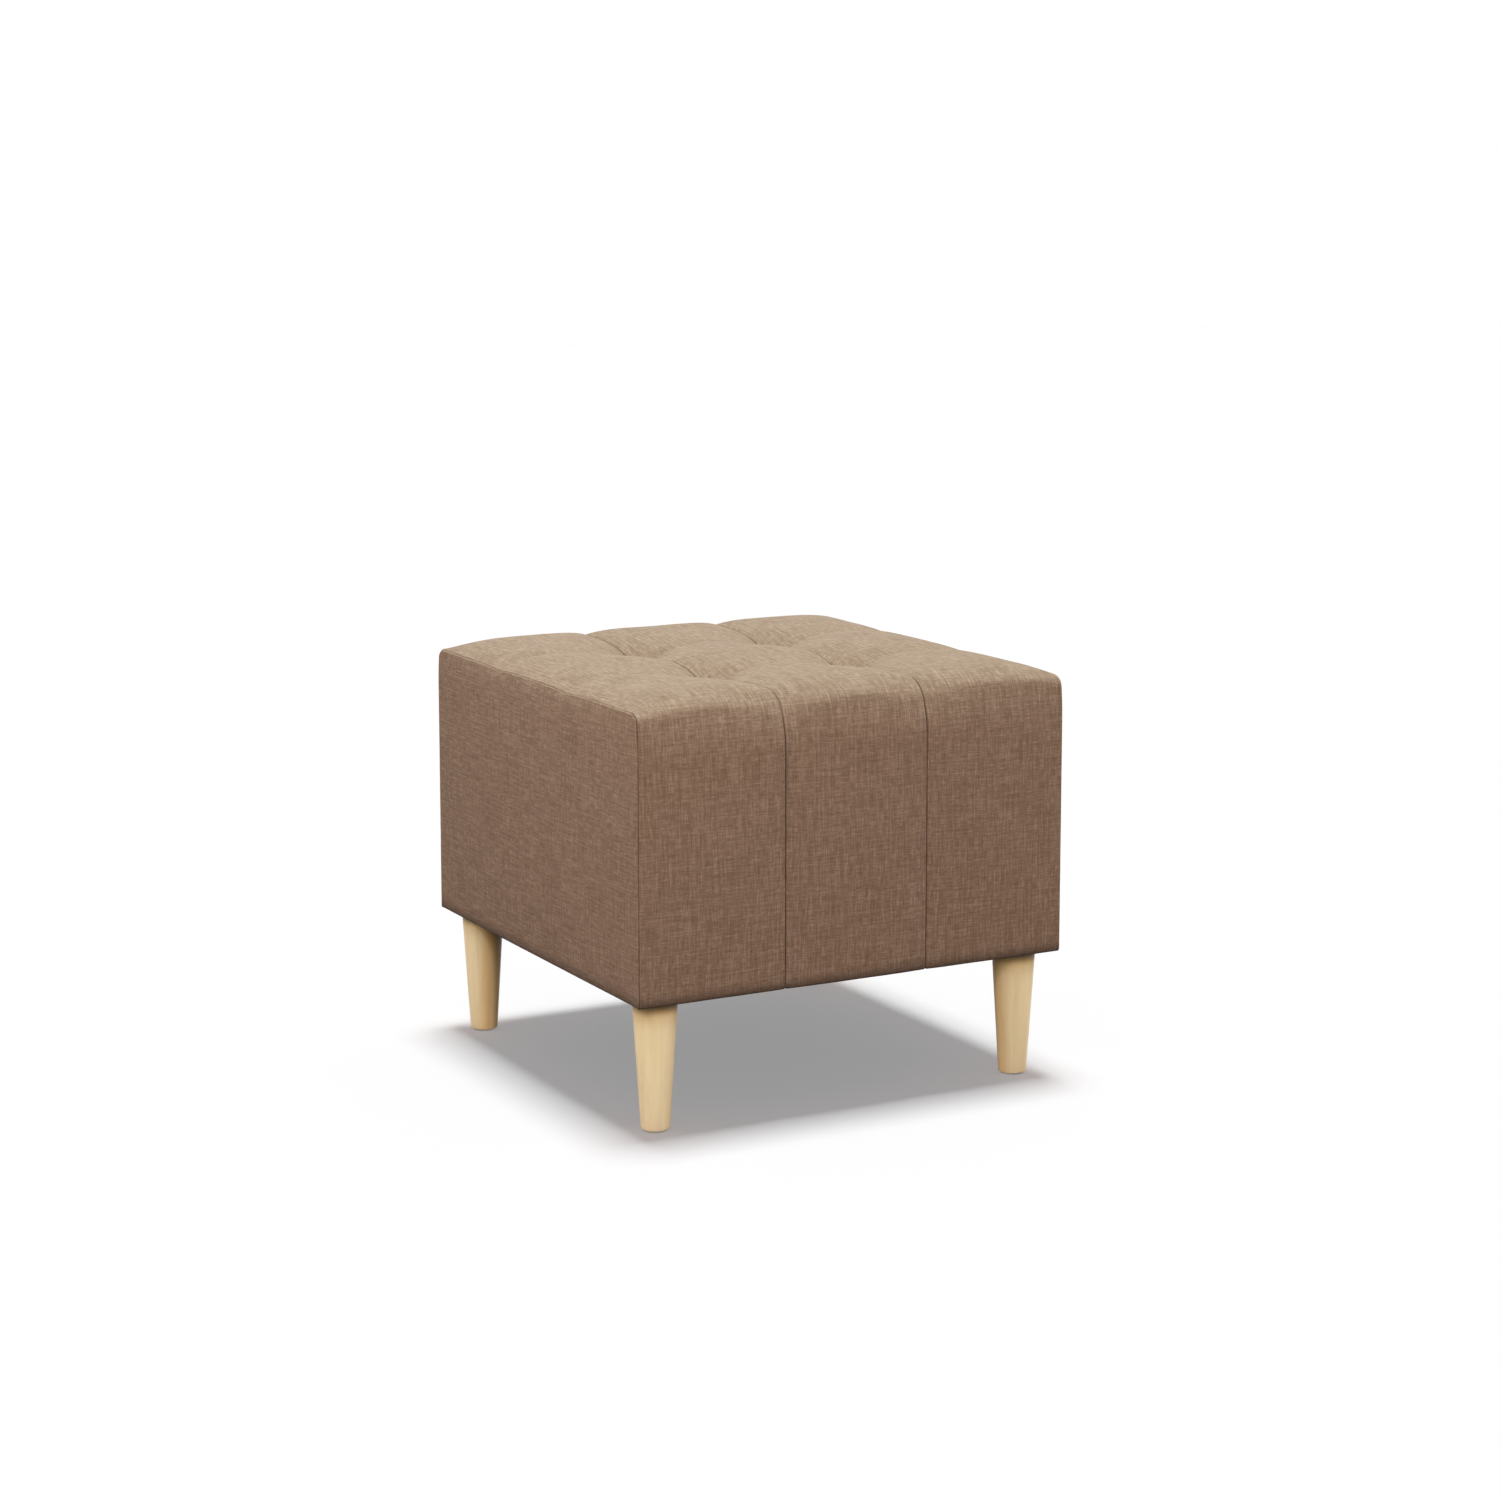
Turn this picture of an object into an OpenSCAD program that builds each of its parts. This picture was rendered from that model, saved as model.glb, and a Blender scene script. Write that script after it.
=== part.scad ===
// Square tufted pouf: an upholstered box on four turned beech legs.
// Millimetres, +Z up. The origin is on the floor, under the middle of the box.
// The strips of the cover run front to back along Y. The plain side panels face along X.

/* [Box] */
// Width of the upholstered box, across the strips
body_w = 550; // [460:10:700]
// Depth of the upholstered box, along the strips
body_d = 550; // [460:10:700]
// Height of the box, from its underside to the top corners of its side panels
body_h = 320; // [260:10:420]

/* [Tufted top] */
// Rise of the pillow crests above the top corners of the side panels
crest_rise = 22; // [14:1:32]
// Fall from the crests to the seams between the strips
seam_drop = 8; // [3:0.5:12]
// How narrow those seams are: a higher power is a narrower groove
seam_power = 4; // [2:0.5:6]
// Fall from the crests to the valleys that run across the strips
cross_drop = 3; // [1:0.5:6]
// How narrow those valleys are
cross_power = 4.5; // [2:0.5:6]
// Fall from the crests to the seams along the two sides
edge_drop = 17.5; // [8:0.5:24]
// How late the top turns down to the side seams
edge_power = 2.8; // [1.5:0.1:4]
// Extra pull of the tuft where a seam and a valley cross
tuft_drop = 34; // [14:1:40]
// How far round the crossing that pull is felt
tuft_reach = 33; // [16:1:40]

/* [Rounded edges] */
// Depth of the rounding over the front and back edges, in the middle of a strip
roll_d = 78; // [30:1:90]
// Height of that rounding
roll_h = 26; // [16:1:50]
// Radius of that rounding at the seams between the strips
seam_roll = 47; // [20:1:60]
// Radius of that rounding at the side panels
corner_r = 12; // [8:1:20]
// How far the strip seams are drawn in on the front and back faces
seam_sink = 1.5; // [0.5:0.1:3]
// Radius of the fold under the bottom edges
fold_r = 2.5; // [2.2:0.1:4]

/* [Soft layers] */
// Thickness of the cover fabric
cover_t = 1.5; // [0.8:0.1:1.8]
// Width of the hem that is folded under the frame
hem_w = 30; // [20:1:34]
// Gap between two pieces of the cover at a seam
seam_gap = 0.3; // [0.2:0.05:0.4]
// Clearance between the cover and the wadding under it
wadding_gap = 0.5; // [0.4:0.05:0.8]
// Clearance between two other soft layers
soft_gap = 0.3; // [0.2:0.05:0.4]
// Thickness of the fibre wadding over the seat foam
wadding_t = 8; // [4:0.5:9]
// Thickness of the seat foam under a crest
seat_foam_t = 70; // [60:1:100]
// Thickness of the foam on the four sides
side_foam_t = 12; // [8:0.5:20]
// Diameter of the tufting twine
twine_d = 2.5; // [1.5:0.1:3]
// Clearance round the twine in the foam and the deck
twine_clear = 0.7; // [0.3:0.05:1]
// Diameter of the washers that the twines are tied to
washer_d = 24; // [16:1:34]
// Thickness of those washers
washer_t = 2; // [1:0.25:4]
// Diameter of the knot under each washer
knot_d = 7; // [6:0.5:10]
// Height of that knot
knot_h = 5; // [3:0.5:8]

/* [Frame] */
// Side of the square corner posts
post_w = 45; // [42:1:55]
// Height of the rails
rail_h = 45; // [40:1:60]
// Thickness of the rails
rail_t = 20; // [16:1:26]
// Thickness of the boards on the four sides
board_t = 3; // [3:0.5:9]
// Thickness of the seat deck
deck_t = 12; // [9:1:18]
// Diameter of the dowels between rails and posts
dowel_d = 8; // [6:0.5:10]
// Length of those dowels
dowel_l = 30; // [20:1:36]
// Distance between the two dowels of a joint
dowel_pitch = 24; // [14:1:26]
// Clearance round and behind a dowel, screw, bolt or nail in its hole
hole_clear = 0.1; // [0.05:0.05:0.2]
// Diameter of the deck screws
screw_d = 4; // [3:0.5:5]
// Length of the deck screws
screw_l = 35; // [25:1:40]
// Diameter of their countersunk heads
screw_head_d = 8; // [7:0.5:10]
// Height of those heads
screw_head_h = 3; // [2:0.25:4]
// Distance from the middle of a rail to each of its two deck screws
screw_offset = 120; // [60:5:150]
// Thickness of the dust cover
dust_t = 0.8; // [0.4:0.1:1.5]
// Distance from the faces of the box to the edge of the dust cover
dust_inset = 11; // [8:1:13]

/* [Legs] */
// Length of the wooden leg
leg_l = 147; // [100:1:220]
// Diameter of the leg at its top
leg_top_d = 51; // [40:1:52]
// Diameter of the leg at its foot
leg_foot_d = 33; // [30:1:40]
// Radius of the turned edge round the foot
leg_foot_r = 1.6; // [0.5:0.1:2]
// Radius of the turned edge round the top
leg_top_r = 0.6; // [0.3:0.1:2]
// Diameter of the leg bolt
bolt_d = 8; // [6:1:8]
// Length of the leg bolt
bolt_l = 55; // [52:1:70]
// Depth of the bolt in the leg
bolt_in_leg = 30; // [20:1:34]
// Outer diameter of the threaded insert in the post
insert_d = 12; // [11:0.5:15]
// Length of the threaded insert
insert_l = 18; // [12:1:20]
// Space between the bolt and the edge of the dust cover's hole
dust_hole_clear = 1; // [0.5:0.25:3]
// Diameter of the glide under the foot
glide_d = 27; // [20:1:27]
// Thickness of the glide
glide_t = 2; // [1.5:0.25:5]
// Radius of the glide's lower edge
glide_r = 0.6; // [0.2:0.1:0.9]
// Diameter of the glide's nail
nail_d = 3; // [2:0.25:4]
// Length of that nail
nail_l = 15; // [10:1:25]

/* [Hidden] */

$fn = 48;
sides = [-1, 1];

fabric_color = [0.55, 0.46, 0.38];
foam_color = [0.93, 0.88, 0.70];
wadding_color = [0.94, 0.94, 0.92];
beech_color = [0.87, 0.74, 0.56];
pine_color = [0.85, 0.71, 0.48];
board_color = [0.47, 0.33, 0.21];
dust_color = [0.08, 0.08, 0.08];
steel_color = [0.72, 0.72, 0.70];
plastic_color = [0.80, 0.78, 0.72];

// Heights, from the floor up
leg_top_z = glide_t + leg_l;
dust_top_z = leg_top_z + dust_t;
box_z = dust_top_z + soft_gap;
top_z = box_z + body_h;
frame_z = box_z + cover_t + soft_gap;
bolt_top_z = leg_top_z + bolt_l - bolt_in_leg;

// Distance from the face of the cover to each layer of the top
wadding_inset = cover_t + wadding_gap;
foam_inset = wadding_inset + wadding_t + soft_gap;
deck_top_z = top_z + crest_rise - foam_inset - seat_foam_t;
rail_top_z = deck_top_z - deck_t;
cushion_z = deck_top_z + soft_gap;
side_foam_z = frame_z + soft_gap;

// Half sizes in plan, from the outside in
half_w = body_w / 2;
half_d = body_d / 2;
foam_half_w = half_w - cover_t - soft_gap;
foam_half_d = half_d - cover_t - soft_gap;
board_half_w = foam_half_w - side_foam_t;
board_half_d = foam_half_d - side_foam_t;
frame_half_w = board_half_w - board_t;
frame_half_d = board_half_d - board_t;
post_x = frame_half_w - post_w / 2;
post_y = frame_half_d - post_w / 2;
rail_x = frame_half_w - rail_t / 2;
rail_y = frame_half_d - rail_t / 2;
joint_x = frame_half_w - post_w;
joint_y = frame_half_d - post_w;

// Three strips across and three pillows along each: a span is half a pillow,
// and also the distance from the middle to a seam or a valley
pillows = 3;
span_x = half_w / pillows;
span_y = half_d / pillows;

// How the front and back rounding changes towards the sides and towards a seam
corner_power = 2.5;
shoulder_power = 1.5;
sink_power = 6;
least_r = 0.5;

// Points crowd towards seams and valleys, where the surface bends most
crowd_power = 1.6;
steps_across = 8;
steps_pillow = 4;
steps_slope = 3;
steps_roll = 4;
steps_fold = 2;
turned_edge_steps = 4;

// Distance from v to the nearer of the two lines at +line and -line
function fold(v, line) = abs(abs(v) - line);

// One on a line, falling to nothing at one span from it
function ease(distance, span, power) = pow(max(0, 1 - distance / span), power);

function mix(a, b, t) = a + (b - a) * t;

// Height of the cover above the top corners of the side panels
function crown(x, y) =
    crest_rise
    - seam_drop * ease(fold(x, span_x), span_x, seam_power)
    - edge_drop * ease(half_w - abs(x), span_x, edge_power)
    - cross_drop * ease(fold(y, span_y), span_y, cross_power)
    - tuft_drop * exp(-norm([fold(x, span_x), fold(y, span_y)]) / tuft_reach);

// Depth and height of the rounding over the front and back edges
function roll_size(x) =
    let(at_side = ease(half_w - abs(x), span_x, corner_power),
        at_seam = ease(fold(x, span_x), span_x, shoulder_power),
        at_middle = (1 - at_side) * (1 - at_seam))
    [for (middle = [roll_d, roll_h])
        middle * at_middle + corner_r * at_side + seam_roll * at_seam];

// How far the front and back faces are drawn in
function sink(x) = seam_sink * ease(fold(x, span_x), span_x, sink_power);

// Line over the cushion at x, in [y, z], for a surface that lies k inside the face of the cover.
// It starts where the front face ends and stops in the middle of the top.
function front_half(x, k) =
    let(size = [for (r = roll_size(x)) max(r - k, least_r)],
        roll_end = half_d - sink(x) - k - size[0],
        roll_part = [for (i = [0:steps_roll])
            let(a = 90 * i / steps_roll)
            [-roll_end - size[0] * cos(a), size[1] * (sin(a) - 1)]],
        slope_part = [for (i = [steps_slope - 1:-1:0])
            [-mix(span_y, roll_end, pow(i / steps_slope, crowd_power)), 0]],
        pillow_part = [for (i = [1:steps_pillow])
            [-mix(span_y, 0, pow(i / steps_pillow, crowd_power)), 0]])
    [for (p = concat(roll_part, slope_part, pillow_part))
        [p[0], top_z - k + crown(x, p[0]) + p[1]]];

// Hem and bottom fold of the front, for the same surface
function front_hem(x, k) =
    let(fold_y = half_d - sink(x) - fold_r)
    concat([[hem_w - half_d, box_z + k]],
           [for (i = [0:steps_fold])
               let(a = 90 * i / steps_fold)
               [-fold_y - (fold_r - k) * sin(a), box_z + fold_r - (fold_r - k) * cos(a)]]);

// A line that stops in the middle, with its mirror image behind it
function both_halves(line) =
    concat(line, [for (i = [len(line) - 2:-1:0]) [-line[i][0], line[i][1]]]);

function cover_line(x, k) = both_halves(concat(front_hem(x, k), front_half(x, k)));

function wadding_line(x, k) =
    let(line = front_half(x, k))
    both_halves(concat([[line[0][0], cushion_z]], line));

function foam_line(x, k) = both_halves(front_half(x, k));

function foam_base(x, k) = [for (p = foam_line(x, k)) [p[0], cushion_z]];

// Places from x0 to x1, crowded towards both
function stations(x0, x1) =
    [for (i = [0:steps_across])
        let(t = 2 * i / steps_across - 1)
        mix(x0, x1, (1 + sign(t) * (1 - pow(1 - abs(t), crowd_power))) / 2)];

// Places across the whole cushion, with the two seams among them
function cushion_stations() =
    let(outer = stations(-foam_half_w, -span_x),
        middle = stations(-span_x, span_x),
        drop_last = steps_across - 1)
    concat([for (i = [0:drop_last]) outer[i]],
           [for (i = [0:drop_last]) middle[i]],
           [for (i = [steps_across:-1:0]) -outer[i]]);

// A layer that runs along X between an outer and an inner line with as many points.
// outers and inners hold one line for each place in xs. Both sides are split into triangles
// along the same diagonals, so that layers with the same places nest without touching.
module layer(xs, outers, inners) {
    n = len(outers[0]);
    ring = 2 * n;
    last = len(xs) - 1;
    points = [for (j = [0:last]) each concat(
        [for (p = outers[j]) [xs[j], p[0], p[1]]],
        [for (i = [n - 1:-1:0]) [xs[j], inners[j][i][0], inners[j][i][1]]])];
    walls = [for (j = [0:last - 1], i = [0:ring - 1])
        let(a = j * ring + i, b = j * ring + (i + 1) % ring)
        each i < n ? [[a, b, b + ring], [a, b + ring, a + ring]]
                   : [[a, b, a + ring], [b, b + ring, a + ring]]];
    first_cap = [for (i = [0:n - 2])
        each [[i + 1, i, ring - 1 - i], [i + 1, ring - 1 - i, ring - 2 - i]]];
    last_cap = [for (face = first_cap) [for (i = [2:-1:0]) face[i] + last * ring]];
    polyhedron(points, concat(walls, first_cap, last_cap));
}

module cover_strip(x0, x1) {
    xs = stations(x0, x1);
    layer(xs, [for (x = xs) cover_line(x, 0)], [for (x = xs) cover_line(x, cover_t)]);
}

// The panel ends just inside the strips, and its hem stops at theirs
module cover_panel(side) {
    k = cover_t + seam_gap;
    top_edge = both_halves(front_half(half_w, k));
    outline = concat([[k - half_d, box_z + fold_r]], top_edge, [[half_d - k, box_z + fold_r]]);
    hem_half = half_d - hem_w - seam_gap;
    mirror([side < 0 ? 1 : 0, 0, 0]) {
        translate([half_w - cover_t, 0, 0])
            rotate([90, 0, 90])
                linear_extrude(cover_t)
                    polygon(outline);
        translate([0, hem_half, 0])
            rotate([90, 0, 0])
                linear_extrude(2 * hem_half)
                    panel_hem();
    }
}

// Section of the panel's bottom fold and hem, in [x, z]
module panel_hem() {
    centre = [half_w - fold_r, box_z + fold_r];
    translate([half_w - hem_w, box_z])
        square([hem_w - fold_r, cover_t]);
    intersection() {
        difference() {
            translate(centre)
                circle(fold_r);
            translate(centre)
                circle(fold_r - cover_t);
        }
        translate([centre[0], box_z])
            square(fold_r);
    }
}

// Upright holes or rods at the four tufts
module at_tufts() {
    for (sx = sides, sy = sides)
        translate([sx * span_x, sy * span_y, 0])
            children();
}

module twine_holes() {
    at_tufts()
        cylinder(h = top_z + crest_rise, d = twine_d + 2 * twine_clear);
}

module top_wadding() {
    xs = cushion_stations();
    k = wadding_inset;
    difference() {
        layer(xs, [for (x = xs) wadding_line(x, k)],
              [for (x = xs) wadding_line(x, k + wadding_t)]);
        twine_holes();
    }
}

module seat_foam() {
    xs = cushion_stations();
    difference() {
        layer(xs, [for (x = xs) foam_line(x, foam_inset)],
              [for (x = xs) foam_base(x, foam_inset)]);
        twine_holes();
    }
}

// A plain block between two corners
module block(low, high) {
    translate(low)
        cube(high - low);
}

module side_foam_y(side) {
    mirror([0, side < 0 ? 1 : 0, 0])
        block([-foam_half_w, board_half_d, side_foam_z],
              [foam_half_w, foam_half_d - seam_sink, deck_top_z]);
}

module side_foam_x(side) {
    end = board_half_d - soft_gap;
    mirror([side < 0 ? 1 : 0, 0, 0])
        block([board_half_w, -end, side_foam_z], [foam_half_w, end, deck_top_z]);
}

module tuft_twines() {
    low_z = rail_top_z - washer_t - knot_h;
    high_z = top_z - cover_t + crown(span_x, span_y) - soft_gap;
    at_tufts() {
        translate([0, 0, low_z])
            cylinder(h = high_z - low_z, d = twine_d);
        translate([0, 0, low_z])
            cylinder(h = knot_h, d = knot_d);
    }
}

module tuft_washers() {
    at_tufts()
        translate([0, 0, rail_top_z - washer_t])
            difference() {
                cylinder(h = washer_t, d = washer_d);
                cylinder(h = washer_t, d = twine_d + 2 * twine_clear);
            }
}

// Children at the eight places of the deck screws
module at_deck_screws() {
    for (side = sides, along = sides) {
        translate([along * screw_offset, side * rail_y, deck_top_z])
            children();
        translate([side * rail_x, along * screw_offset, deck_top_z])
            children();
    }
}

// Countersunk screw with its head at z = 0, or its hole when clear is above zero
module deck_screw(clear) {
    translate([0, 0, -screw_l - clear])
        cylinder(h = screw_l + clear, d = screw_d + 2 * clear);
    translate([0, 0, -screw_head_h - clear])
        cylinder(h = screw_head_h + clear, d1 = screw_d + 2 * clear, d2 = screw_head_d + 2 * clear);
}

module seat_deck() {
    difference() {
        block([-frame_half_w, -frame_half_d, rail_top_z], [frame_half_w, frame_half_d, deck_top_z]);
        at_deck_screws()
            deck_screw(hole_clear);
        twine_holes();
    }
}

module board_y(side) {
    mirror([0, side < 0 ? 1 : 0, 0])
        block([-board_half_w, frame_half_d, frame_z], [board_half_w, board_half_d, deck_top_z]);
}

module board_x(side) {
    mirror([side < 0 ? 1 : 0, 0, 0])
        block([frame_half_w, -frame_half_d, frame_z], [board_half_w, frame_half_d, deck_top_z]);
}

// Children at the dowels between the rails along X and the posts, lying along X, and the others
module at_dowels() {
    for (z = [frame_z + rail_h / 2, rail_top_z - rail_h / 2], pair = sides, sx = sides, sy = sides) {
        translate([sx * joint_x, sy * rail_y, z + pair * dowel_pitch / 2])
            rotate([0, 90, 0])
                children();
        translate([sx * rail_x, sy * joint_y, z + pair * dowel_pitch / 2])
            rotate([90, 0, 0])
                children();
    }
}

module dowel(clear) {
    cylinder(h = dowel_l + 2 * clear, d = dowel_d + 2 * clear, center = true);
}

// Rail along X behind the front or back board
module rail_along_x(side, low_z) {
    difference() {
        mirror([0, side < 0 ? 1 : 0, 0])
            block([-joint_x, frame_half_d - rail_t, low_z], [joint_x, frame_half_d, low_z + rail_h]);
        at_dowels()
            dowel(hole_clear);
        at_deck_screws()
            deck_screw(hole_clear);
    }
}

// Rail along Y behind the left or right board
module rail_along_y(side, low_z) {
    difference() {
        mirror([side < 0 ? 1 : 0, 0, 0])
            block([frame_half_w - rail_t, -joint_y, low_z], [frame_half_w, joint_y, low_z + rail_h]);
        at_dowels()
            dowel(hole_clear);
        at_deck_screws()
            deck_screw(hole_clear);
    }
}

module post(sx, sy) {
    difference() {
        translate([sx * post_x, sy * post_y, frame_z])
            translate([-post_w / 2, -post_w / 2, 0])
                cube([post_w, post_w, rail_top_z - frame_z]);
        at_dowels()
            dowel(hole_clear);
        translate([sx * post_x, sy * post_y, frame_z])
            cylinder(h = insert_l + hole_clear, d = insert_d + 2 * hole_clear);
        translate([sx * post_x, sy * post_y, frame_z])
            cylinder(h = bolt_top_z - frame_z + hole_clear, d = bolt_d + 2 * hole_clear);
    }
}

module dust_cover() {
    difference() {
        block([dust_inset - half_w, dust_inset - half_d, leg_top_z],
              [half_w - dust_inset, half_d - dust_inset, dust_top_z]);
        at_legs()
            cylinder(h = dust_top_z, d = bolt_d + 2 * dust_hole_clear);
    }
}

module at_legs() {
    for (sx = sides, sy = sides)
        translate([sx * post_x, sy * post_y, 0])
            children();
}

// Quarter circle of radius r round a centre, from angle a0 to a0 + 90
function quarter(centre, r, a0) =
    [for (i = [0:turned_edge_steps])
        let(a = a0 + 90 * i / turned_edge_steps)
        centre + r * [cos(a), sin(a)]];

module leg(sx, sy) {
    foot_r = leg_foot_d / 2;
    top_r = leg_top_d / 2;
    outline = concat(
        [[0, glide_t]],
        quarter([foot_r - leg_foot_r, glide_t + leg_foot_r], leg_foot_r, -90),
        quarter([top_r - leg_top_r, leg_top_z - leg_top_r], leg_top_r, 0),
        [[0, leg_top_z]]);
    translate([sx * post_x, sy * post_y, 0])
        difference() {
            rotate_extrude()
                polygon(outline);
            translate([0, 0, leg_top_z - bolt_in_leg - hole_clear])
                cylinder(h = bolt_in_leg + hole_clear, d = bolt_d + 2 * hole_clear);
            translate([0, 0, glide_t])
                cylinder(h = nail_l + hole_clear, d = nail_d + 2 * hole_clear);
        }
}

module leg_bolts() {
    at_legs()
        translate([0, 0, leg_top_z - bolt_in_leg])
            cylinder(h = bolt_l, d = bolt_d);
}

module leg_inserts() {
    at_legs()
        translate([0, 0, frame_z])
            difference() {
                cylinder(h = insert_l, d = insert_d);
                cylinder(h = insert_l, d = bolt_d + 2 * hole_clear);
            }
}

module glide(sx, sy) {
    pad_r = glide_d / 2;
    outline = concat(
        [[0, 0]],
        quarter([pad_r - glide_r, glide_r], glide_r, -90),
        [[pad_r, glide_t], [nail_d / 2, glide_t], [nail_d / 2, glide_t + nail_l], [0, glide_t + nail_l]]);
    translate([sx * post_x, sy * post_y, 0])
        rotate_extrude()
            polygon(outline);
}

color(fabric_color) cover_strip(-half_w, -span_x - seam_gap / 2);  // cover_strip_left
color(fabric_color) cover_strip(-span_x + seam_gap / 2, span_x - seam_gap / 2);  // cover_strip_middle
color(fabric_color) cover_strip(span_x + seam_gap / 2, half_w);  // cover_strip_right
color(fabric_color) cover_panel(-1);  // cover_panel_left
color(fabric_color) cover_panel(1);  // cover_panel_right
color(wadding_color) top_wadding();
color(foam_color) seat_foam();
color(foam_color) side_foam_y(-1);  // side_foam_front
color(foam_color) side_foam_y(1);  // side_foam_back
color(foam_color) side_foam_x(-1);  // side_foam_left
color(foam_color) side_foam_x(1);  // side_foam_right
color(wadding_color) tuft_twines();
color(steel_color) tuft_washers();
color(pine_color) seat_deck();
color(steel_color) at_deck_screws() deck_screw(0);  // deck_screws
color(board_color) board_y(-1);  // board_front
color(board_color) board_y(1);  // board_back
color(board_color) board_x(-1);  // board_left
color(board_color) board_x(1);  // board_right
color(pine_color) rail_along_x(-1, rail_top_z - rail_h);  // top_rail_front
color(pine_color) rail_along_x(1, rail_top_z - rail_h);  // top_rail_back
color(pine_color) rail_along_y(-1, rail_top_z - rail_h);  // top_rail_left
color(pine_color) rail_along_y(1, rail_top_z - rail_h);  // top_rail_right
color(pine_color) rail_along_x(-1, frame_z);  // bottom_rail_front
color(pine_color) rail_along_x(1, frame_z);  // bottom_rail_back
color(pine_color) rail_along_y(-1, frame_z);  // bottom_rail_left
color(pine_color) rail_along_y(1, frame_z);  // bottom_rail_right
color(pine_color) post(-1, -1);  // post_front_left
color(pine_color) post(1, -1);  // post_front_right
color(pine_color) post(-1, 1);  // post_back_left
color(pine_color) post(1, 1);  // post_back_right
color(beech_color) at_dowels() dowel(0);  // rail_dowels
color(dust_color) dust_cover();
color(beech_color) leg(-1, -1);  // leg_front_left
color(beech_color) leg(1, -1);  // leg_front_right
color(beech_color) leg(-1, 1);  // leg_back_left
color(beech_color) leg(1, 1);  // leg_back_right
color(steel_color) leg_bolts();
color(steel_color) leg_inserts();
color(plastic_color) glide(-1, -1);  // glide_front_left
color(plastic_color) glide(1, -1);  // glide_front_right
color(plastic_color) glide(-1, 1);  // glide_back_left
color(plastic_color) glide(1, 1);  // glide_back_right
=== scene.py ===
import math
from itertools import product

import bmesh
import bpy
import numpy as np
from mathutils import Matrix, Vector, noise


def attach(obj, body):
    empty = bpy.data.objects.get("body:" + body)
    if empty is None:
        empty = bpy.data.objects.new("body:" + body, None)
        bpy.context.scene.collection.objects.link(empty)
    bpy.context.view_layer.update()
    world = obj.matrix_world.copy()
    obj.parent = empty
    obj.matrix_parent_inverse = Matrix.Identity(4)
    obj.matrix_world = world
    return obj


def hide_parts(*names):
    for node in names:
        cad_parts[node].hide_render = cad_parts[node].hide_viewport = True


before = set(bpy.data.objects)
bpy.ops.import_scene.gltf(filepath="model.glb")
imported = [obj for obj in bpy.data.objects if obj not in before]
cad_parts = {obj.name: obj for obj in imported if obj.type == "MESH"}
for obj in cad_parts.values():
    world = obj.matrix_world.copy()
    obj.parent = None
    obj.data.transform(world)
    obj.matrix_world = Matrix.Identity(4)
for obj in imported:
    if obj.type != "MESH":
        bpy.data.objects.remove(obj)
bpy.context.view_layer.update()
print("frame loaded with", len(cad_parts), "nodes")


# Small helpers for objects, shader nodes and materials

def addObject(name, data):
    obj = bpy.data.objects.new(name, data)
    bpy.context.scene.collection.objects.link(obj)
    return obj


def pointAlong(obj, direction):
    obj.rotation_mode = "QUATERNION"
    obj.rotation_quaternion = direction.to_track_quat("-Z", "Y")


def nodeTree(owner):
    owner.use_nodes = True
    tree = owner.node_tree
    tree.nodes.clear()
    return tree


def newMaterial(name):
    material = bpy.data.materials.new(name)
    return material, nodeTree(material)


def addNode(tree, kind, inputs=None, **settings):
    node = tree.nodes.new("ShaderNode" + kind)
    for name, value in settings.items():
        setattr(node, name, value)
    for name, value in (inputs or {}).items():
        if isinstance(value, bpy.types.NodeSocket):
            tree.links.new(value, node.inputs[name])
        else:
            node.inputs[name].default_value = value
    return node


def addMath(tree, operation, *values):
    return addNode(tree, "Math", dict(enumerate(values)), operation=operation).outputs[0]


def addVectorMath(tree, operation, *values):
    return addNode(tree, "VectorMath", dict(enumerate(values)), operation=operation).outputs[0]


def addNoise(tree, inputs, **settings):
    return addNode(tree, "TexNoise", inputs, **settings).outputs[0]


def addCells(tree, place, scale):
    inputs = {"Vector": place, "Scale": scale}
    return addNode(tree, "TexVoronoi", inputs, feature="F1").outputs["Distance"]


def addTones(tree, level, low, high, middle=None):
    # Each tone is its place on the ramp and its colour
    ramp = addNode(tree, "ValToRGB", {"Fac": level})
    stops = ramp.color_ramp.elements
    for stop, (place, colour) in zip(stops, (low, high)):
        stop.position, stop.color = place, (*colour, 1)
    if middle:
        stops.new(middle[0]).color = (*middle[1], 1)
    return ramp.outputs[0]


def addBump(tree, strength, distance, height):
    inputs = {"Strength": strength, "Distance": distance, "Height": height}
    return addNode(tree, "Bump", inputs).outputs[0]


def addSurface(tree, inputs):
    surface = addNode(tree, "BsdfPrincipled", inputs)
    addNode(tree, "OutputMaterial", {"Surface": surface.outputs[0]})


def attribute(tree, name):
    return addNode(tree, "Attribute", attribute_name=name).outputs["Fac"]


def shaded(tree, colour, most):
    # The colour with shade and light painted in: darker by the given share where the piece's shading
    # attribute is 1, lighter below 0
    lit = addMath(tree, "MULTIPLY_ADD", attribute(tree, "crease"), -most, 1.0)
    return addNode(tree, "VectorMath", {0: colour, "Scale": lit}, operation="SCALE").outputs[0]


# Camera, floor and light

camera = {
    "turn": -28.528,  # degrees round the pouf from its front, towards its left side
    "rise": 7.691,  # degrees above the horizon
    "away": 3.6699,
    "aim": (0.01173, 0.0, 0.54845),
    "lens": 74.06,
    "sensor": 36,
    "shift": -0.1,
    "farthest": 60,
}


def addCamera():
    turn, rise = math.radians(camera["turn"]), math.radians(camera["rise"])
    back = Vector((math.sin(turn) * math.cos(rise), -math.cos(turn) * math.cos(rise), math.sin(rise)))
    data = bpy.data.cameras.new("camera")
    data.sensor_width = camera["sensor"]
    data.lens = camera["lens"]
    data.shift_y = camera["shift"]
    data.clip_end = camera["farthest"]
    obj = addObject("camera", data)
    obj.location = Vector(camera["aim"]) + back * camera["away"]
    pointAlong(obj, -back)
    bpy.context.scene.camera = obj


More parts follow.
